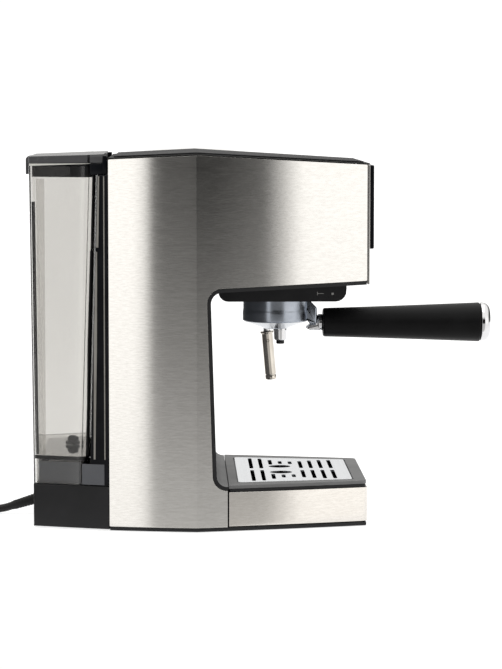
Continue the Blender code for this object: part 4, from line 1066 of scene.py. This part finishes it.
def add_tank():
    """Smoked tank with its lid, rim band, painted rim highlight, floor line, valve and pedestal.
    """
    dressed("water_tank", "smoked_clear", 0.9, 4, reshape=tank_lean)
    dressed("tank_lid", "lid_black", 0.8, 3, reshape=lid_lean)
    band = tank_band((284.6, 0.0), (293.2, 2.5), 2.25, 1.3)
    new_piece("tank_rim_band", band, "gloss_black", "tank", ())
    # Pale strip along the rim: a painted highlight where the rim catches the light.
    bead = rim_highlight_strip((293.4, 2.2), (295.2, 0.6), 0.2, 1.8)
    new_piece("tank_rim_highlight", bead, "silicone", "tank", ())
    line = tank_band((56.1, 0.0), (58.8, 0.0), 0.5, 1.1)
    new_piece("tank_floor_line", line, "black_plastic", "tank", ())
    for side, name in ((-1, "left"), (1, "right")):
        add_tank_side(side, name)
    rib = side_strip(-1, [(59.5, 105.0, 110.4), (283.0, 104.8, 111.6)], -3.6, -3.0)
    new_piece("tank_sight_rib", rib, "smoked_clear", "tank", ())
    stations = [(59.5, 110.7, 113.0), (149.0, 111.5, 113.9), (264.5, 112.6, 114.9)]
    strip = side_strip(-1, stations, -4.2, -3.0)
    new_piece("tank_level_strip", strip, "black_plastic", "tank", ())
    rings = [[(x, y, z) for x, y, _ in tank_loop(TANK_LOW_Z, depth)] for z, depth in PEDESTAL]
    ring = sections(rings, caps=False)
    new_piece("tank_pedestal", ring, "pedestal_grey", "machine", ())
    add_valve()


def add_tank_side(side, name):
    """Hinge block and painted corner shade on one side of the tank, and the rear cover's beads
    beside it.
    """
    x0, x1 = sorted((side * HINGE_X[0], side * HINGE_X[1]))
    post = rounded_box((x0, 54.1, 286.6), (x1, 57.5, 301.9), 0.6)
    step = rounded_box((x0, 57.2, 286.6), (x1, 68.05, 295.6), 0.6)
    new_piece(f"hinge_block_{name}", joined(post, step), "gloss_black", "tank", ())
    cheek = rounded_box((x0, 57.8, 296.1), (x1, 68.05, 301.9), 0.6)
    new_piece(f"hinge_cheek_{name}", cheek, "lid_black", "tank", ())
    upper = side_strip(side, ((228.5, 61.4, 63.2), (285.5, 60.4, 61.6)), -1.4, 0.12)
    stations = ((57.5, 64.6, 66.0), (150.0, 62.9, 65.4), (225.0, 62.4, 63.6))
    lower = side_strip(side, stations, -1.4, 0.12)
    seam = side_strip(side, ((57.5, 56.4, 57.3), (285.5, 56.4, 57.3)), -0.8, 0.10)
    beads = joined(upper, lower, seam)
    new_piece(f"cover_beads_{name}", beads, "bead_grey", "machine", ())
    foot = side_strip(side, ((36.8, 57.4, 75.5), (53.5, 57.4, 75.5)), -0.28, 0.14)
    new_piece(f"cover_foot_{name}", foot, "foot_grey", "machine", ())
    # Black strips on the tank's front corners: painted shade of the clear corners.
    shade_lines = joined(*(painted_corner_shade(side, stations) for stations in TANK_CORNER_SHADE))
    new_piece(f"tank_corner_shade_{name}", shade_lines, "black_plastic", "tank", ())


def add_valve():
    """Spring-loaded poppet in the tank's floor: stem, washer, waist and domed head."""
    poppet = [
        (0, 66.6), (3.2, 66.4, 1.0), (4.9, 64.6, 1.2), (4.9, 62.6), (4.2, 62.4), (4.2, 61.9),
        (6.6, 61.7, 0.3), (6.7, 59.6, 0.3), (1.85, 59.45), (1.85, 48.0, 0.3), (0, 48.0),
    ]
    mesh = lathe(filleted(poppet, 3), (0, VALVE_Y, 0), steps=40)
    grey_plastic = "dark_grey_plastic"
    new_piece("valve_poppet", mesh, grey_plastic, "tank_valve", ["tank_valve"])


def finish_carried_nodes():
    """Procedural finishes, by the slot's name, for the CAD nodes that still show."""
    for node in NODES.values():
        for mount in node.material_slots:
            wanted = mount.material.name.split(".")[0] if mount.material else "black_plastic"
            if wanted == "brushed_steel":
                wanted = "panel_steel"
            mount.material = MATERIALS.get(wanted, MATERIALS["black_plastic"])
        if not node.hide_render:
            node.data.shade_smooth()
            node.data.set_sharp_from_angle(angle=math.radians(32))


# ---------- studio


def add_camera():
    data = bpy.data.cameras.new("camera")
    data.lens = CAMERA_LENS
    data.sensor_width = 36.0
    camera = bpy.data.objects.new("camera", data)
    bpy.context.scene.collection.objects.link(camera)
    yaw, pitch = math.radians(CAMERA_YAW), math.radians(CAMERA_PITCH)
    camera.location = at(*CAMERA_PLACE)
    forward = Vector(
        (math.cos(pitch) * math.cos(yaw), -math.cos(pitch) * math.sin(yaw), -math.sin(pitch))
    )
    camera.rotation_euler = forward.to_track_quat("-Z", "Y").to_euler()
    data.clip_end = 20.0
    bpy.context.scene.camera = camera


def add_floor():
    """Plain pale floor that runs off to the machine's right from FLOOR_EDGE_X."""
    shape = bmesh.new()
    bmesh.ops.create_grid(shape, x_segments=8, y_segments=8, size=4.0)
    for vert in shape.verts:
        vert.co.x = FLOOR_EDGE_X if vert.co.x < 0.5 else vert.co.x * 15
    mesh = as_mesh(shape, "floor")
    paper = Shader("floor_paper", Roughness=0.9, Specular_IOR_Level=0.1)
    paper.colour(paper.noise(size=40.0), (0.3, (0.36, 0.36, 0.36)), (0.7, (0.38, 0.38, 0.38)))
    paper.bsdf.inputs["Emission Color"].default_value = (1, 1, 1, 1)
    paper.bsdf.inputs["Emission Strength"].default_value = 0.82
    mesh.materials.append(paper.material)
    floor = bpy.data.objects.new("floor", mesh)
    floor.location = (0, 0, -0.0004)
    bpy.context.scene.collection.objects.link(floor)


def add_world():
    """White sweep for the eye; dark flats and bright panels where the metal looks."""
    world = bpy.data.worlds.new("studio")
    bpy.context.scene.world = world
    world.use_nodes = True
    tree = world.node_tree
    nodes, links = tree.nodes, tree.links
    background = nodes["Background"]

    def feed(socket, source):
        if isinstance(source, (int, float)):
            socket.default_value = source
        else:
            links.new(source, socket)

    def maths(operation, *sources):
        node = nodes.new("ShaderNodeMath")
        node.operation = operation
        for socket, source in zip(node.inputs, sources):
            feed(socket, source)
        return node.outputs[0]

    def mixed(factor, a, b):
        node = nodes.new("ShaderNodeMix")
        node.data_type = "FLOAT"
        for name, source in (("Factor", factor), ("A", a), ("B", b)):
            feed(node.inputs[name], source)
        return node.outputs["Result"]

    def ramp(source, stops, blend="EASE"):
        node = nodes.new("ShaderNodeValToRGB")
        node.color_ramp.interpolation = blend
        set_stops(node.color_ramp, stops)
        links.new(source, node.inputs["Fac"])
        return node.outputs["Color"]

    split = nodes.new("ShaderNodeSeparateXYZ")
    links.new(nodes.new("ShaderNodeTexCoord").outputs["Generated"], split.inputs[0])
    x, y, z = split.outputs
    bearing = maths("ARCTAN2", maths("MULTIPLY", y, -1.0), maths("MULTIPLY", x, -1.0))
    share = maths("ADD", maths("DIVIDE", bearing, math.tau), 0.5)
    flats = ramp(share, [(degrees / 360 + 0.5, value) for degrees, value in STUDIO_FLATS])
    height = maths("ADD", maths("MULTIPLY", z, 0.5), 0.5)
    lift = ramp(height, [(0.412, 0.95), (0.431, 0.74), (0.450, 0.36), (0.490, 0.0)], "LINEAR")
    sky = ramp(height, [(0.62, 0.0), (0.80, 1.0)])
    low = maths("ADD", maths("MULTIPLY", flats, 0.38), 0.46)
    brightness = maths("ADD", flats, maths("MULTIPLY", lift, maths("SUBTRACT", low, flats)))
    level = maths("MULTIPLY", mixed(sky, brightness, 0.85), 1.55)
    path = nodes.new("ShaderNodeLightPath")
    through = maths("MAXIMUM", path.outputs["Is Camera Ray"], path.outputs["Is Transmission Ray"])
    feed(background.inputs["Strength"], mixed(through, level, 1.05))
    background.inputs["Color"].default_value = (1.0, 0.99, 0.97, 1.0)


def add_light():
    """One large soft light overhead."""
    data = bpy.data.lights.new("overhead", "AREA")
    data.shape = "SQUARE"
    data.size = 1.6
    data.energy = 9.0
    light = bpy.data.objects.new("overhead", data)
    light.location = (0.1, 0.0, 1.6)
    aim = Vector((0, 0, 0.15)) - light.location
    light.rotation_euler = aim.to_track_quat("-Z", "Y").to_euler()
    bpy.context.scene.collection.objects.link(light)


add_camera()
add_cord()
add_side_panels()
add_housing()
add_controls()
add_portafilter()
add_handle()
add_wand()
add_tray()
add_tank()
finish_carried_nodes()
add_floor()
add_world()
add_light()
bpy.context.scene.view_settings.view_transform = "Standard"

bpy.context.view_layer.update()
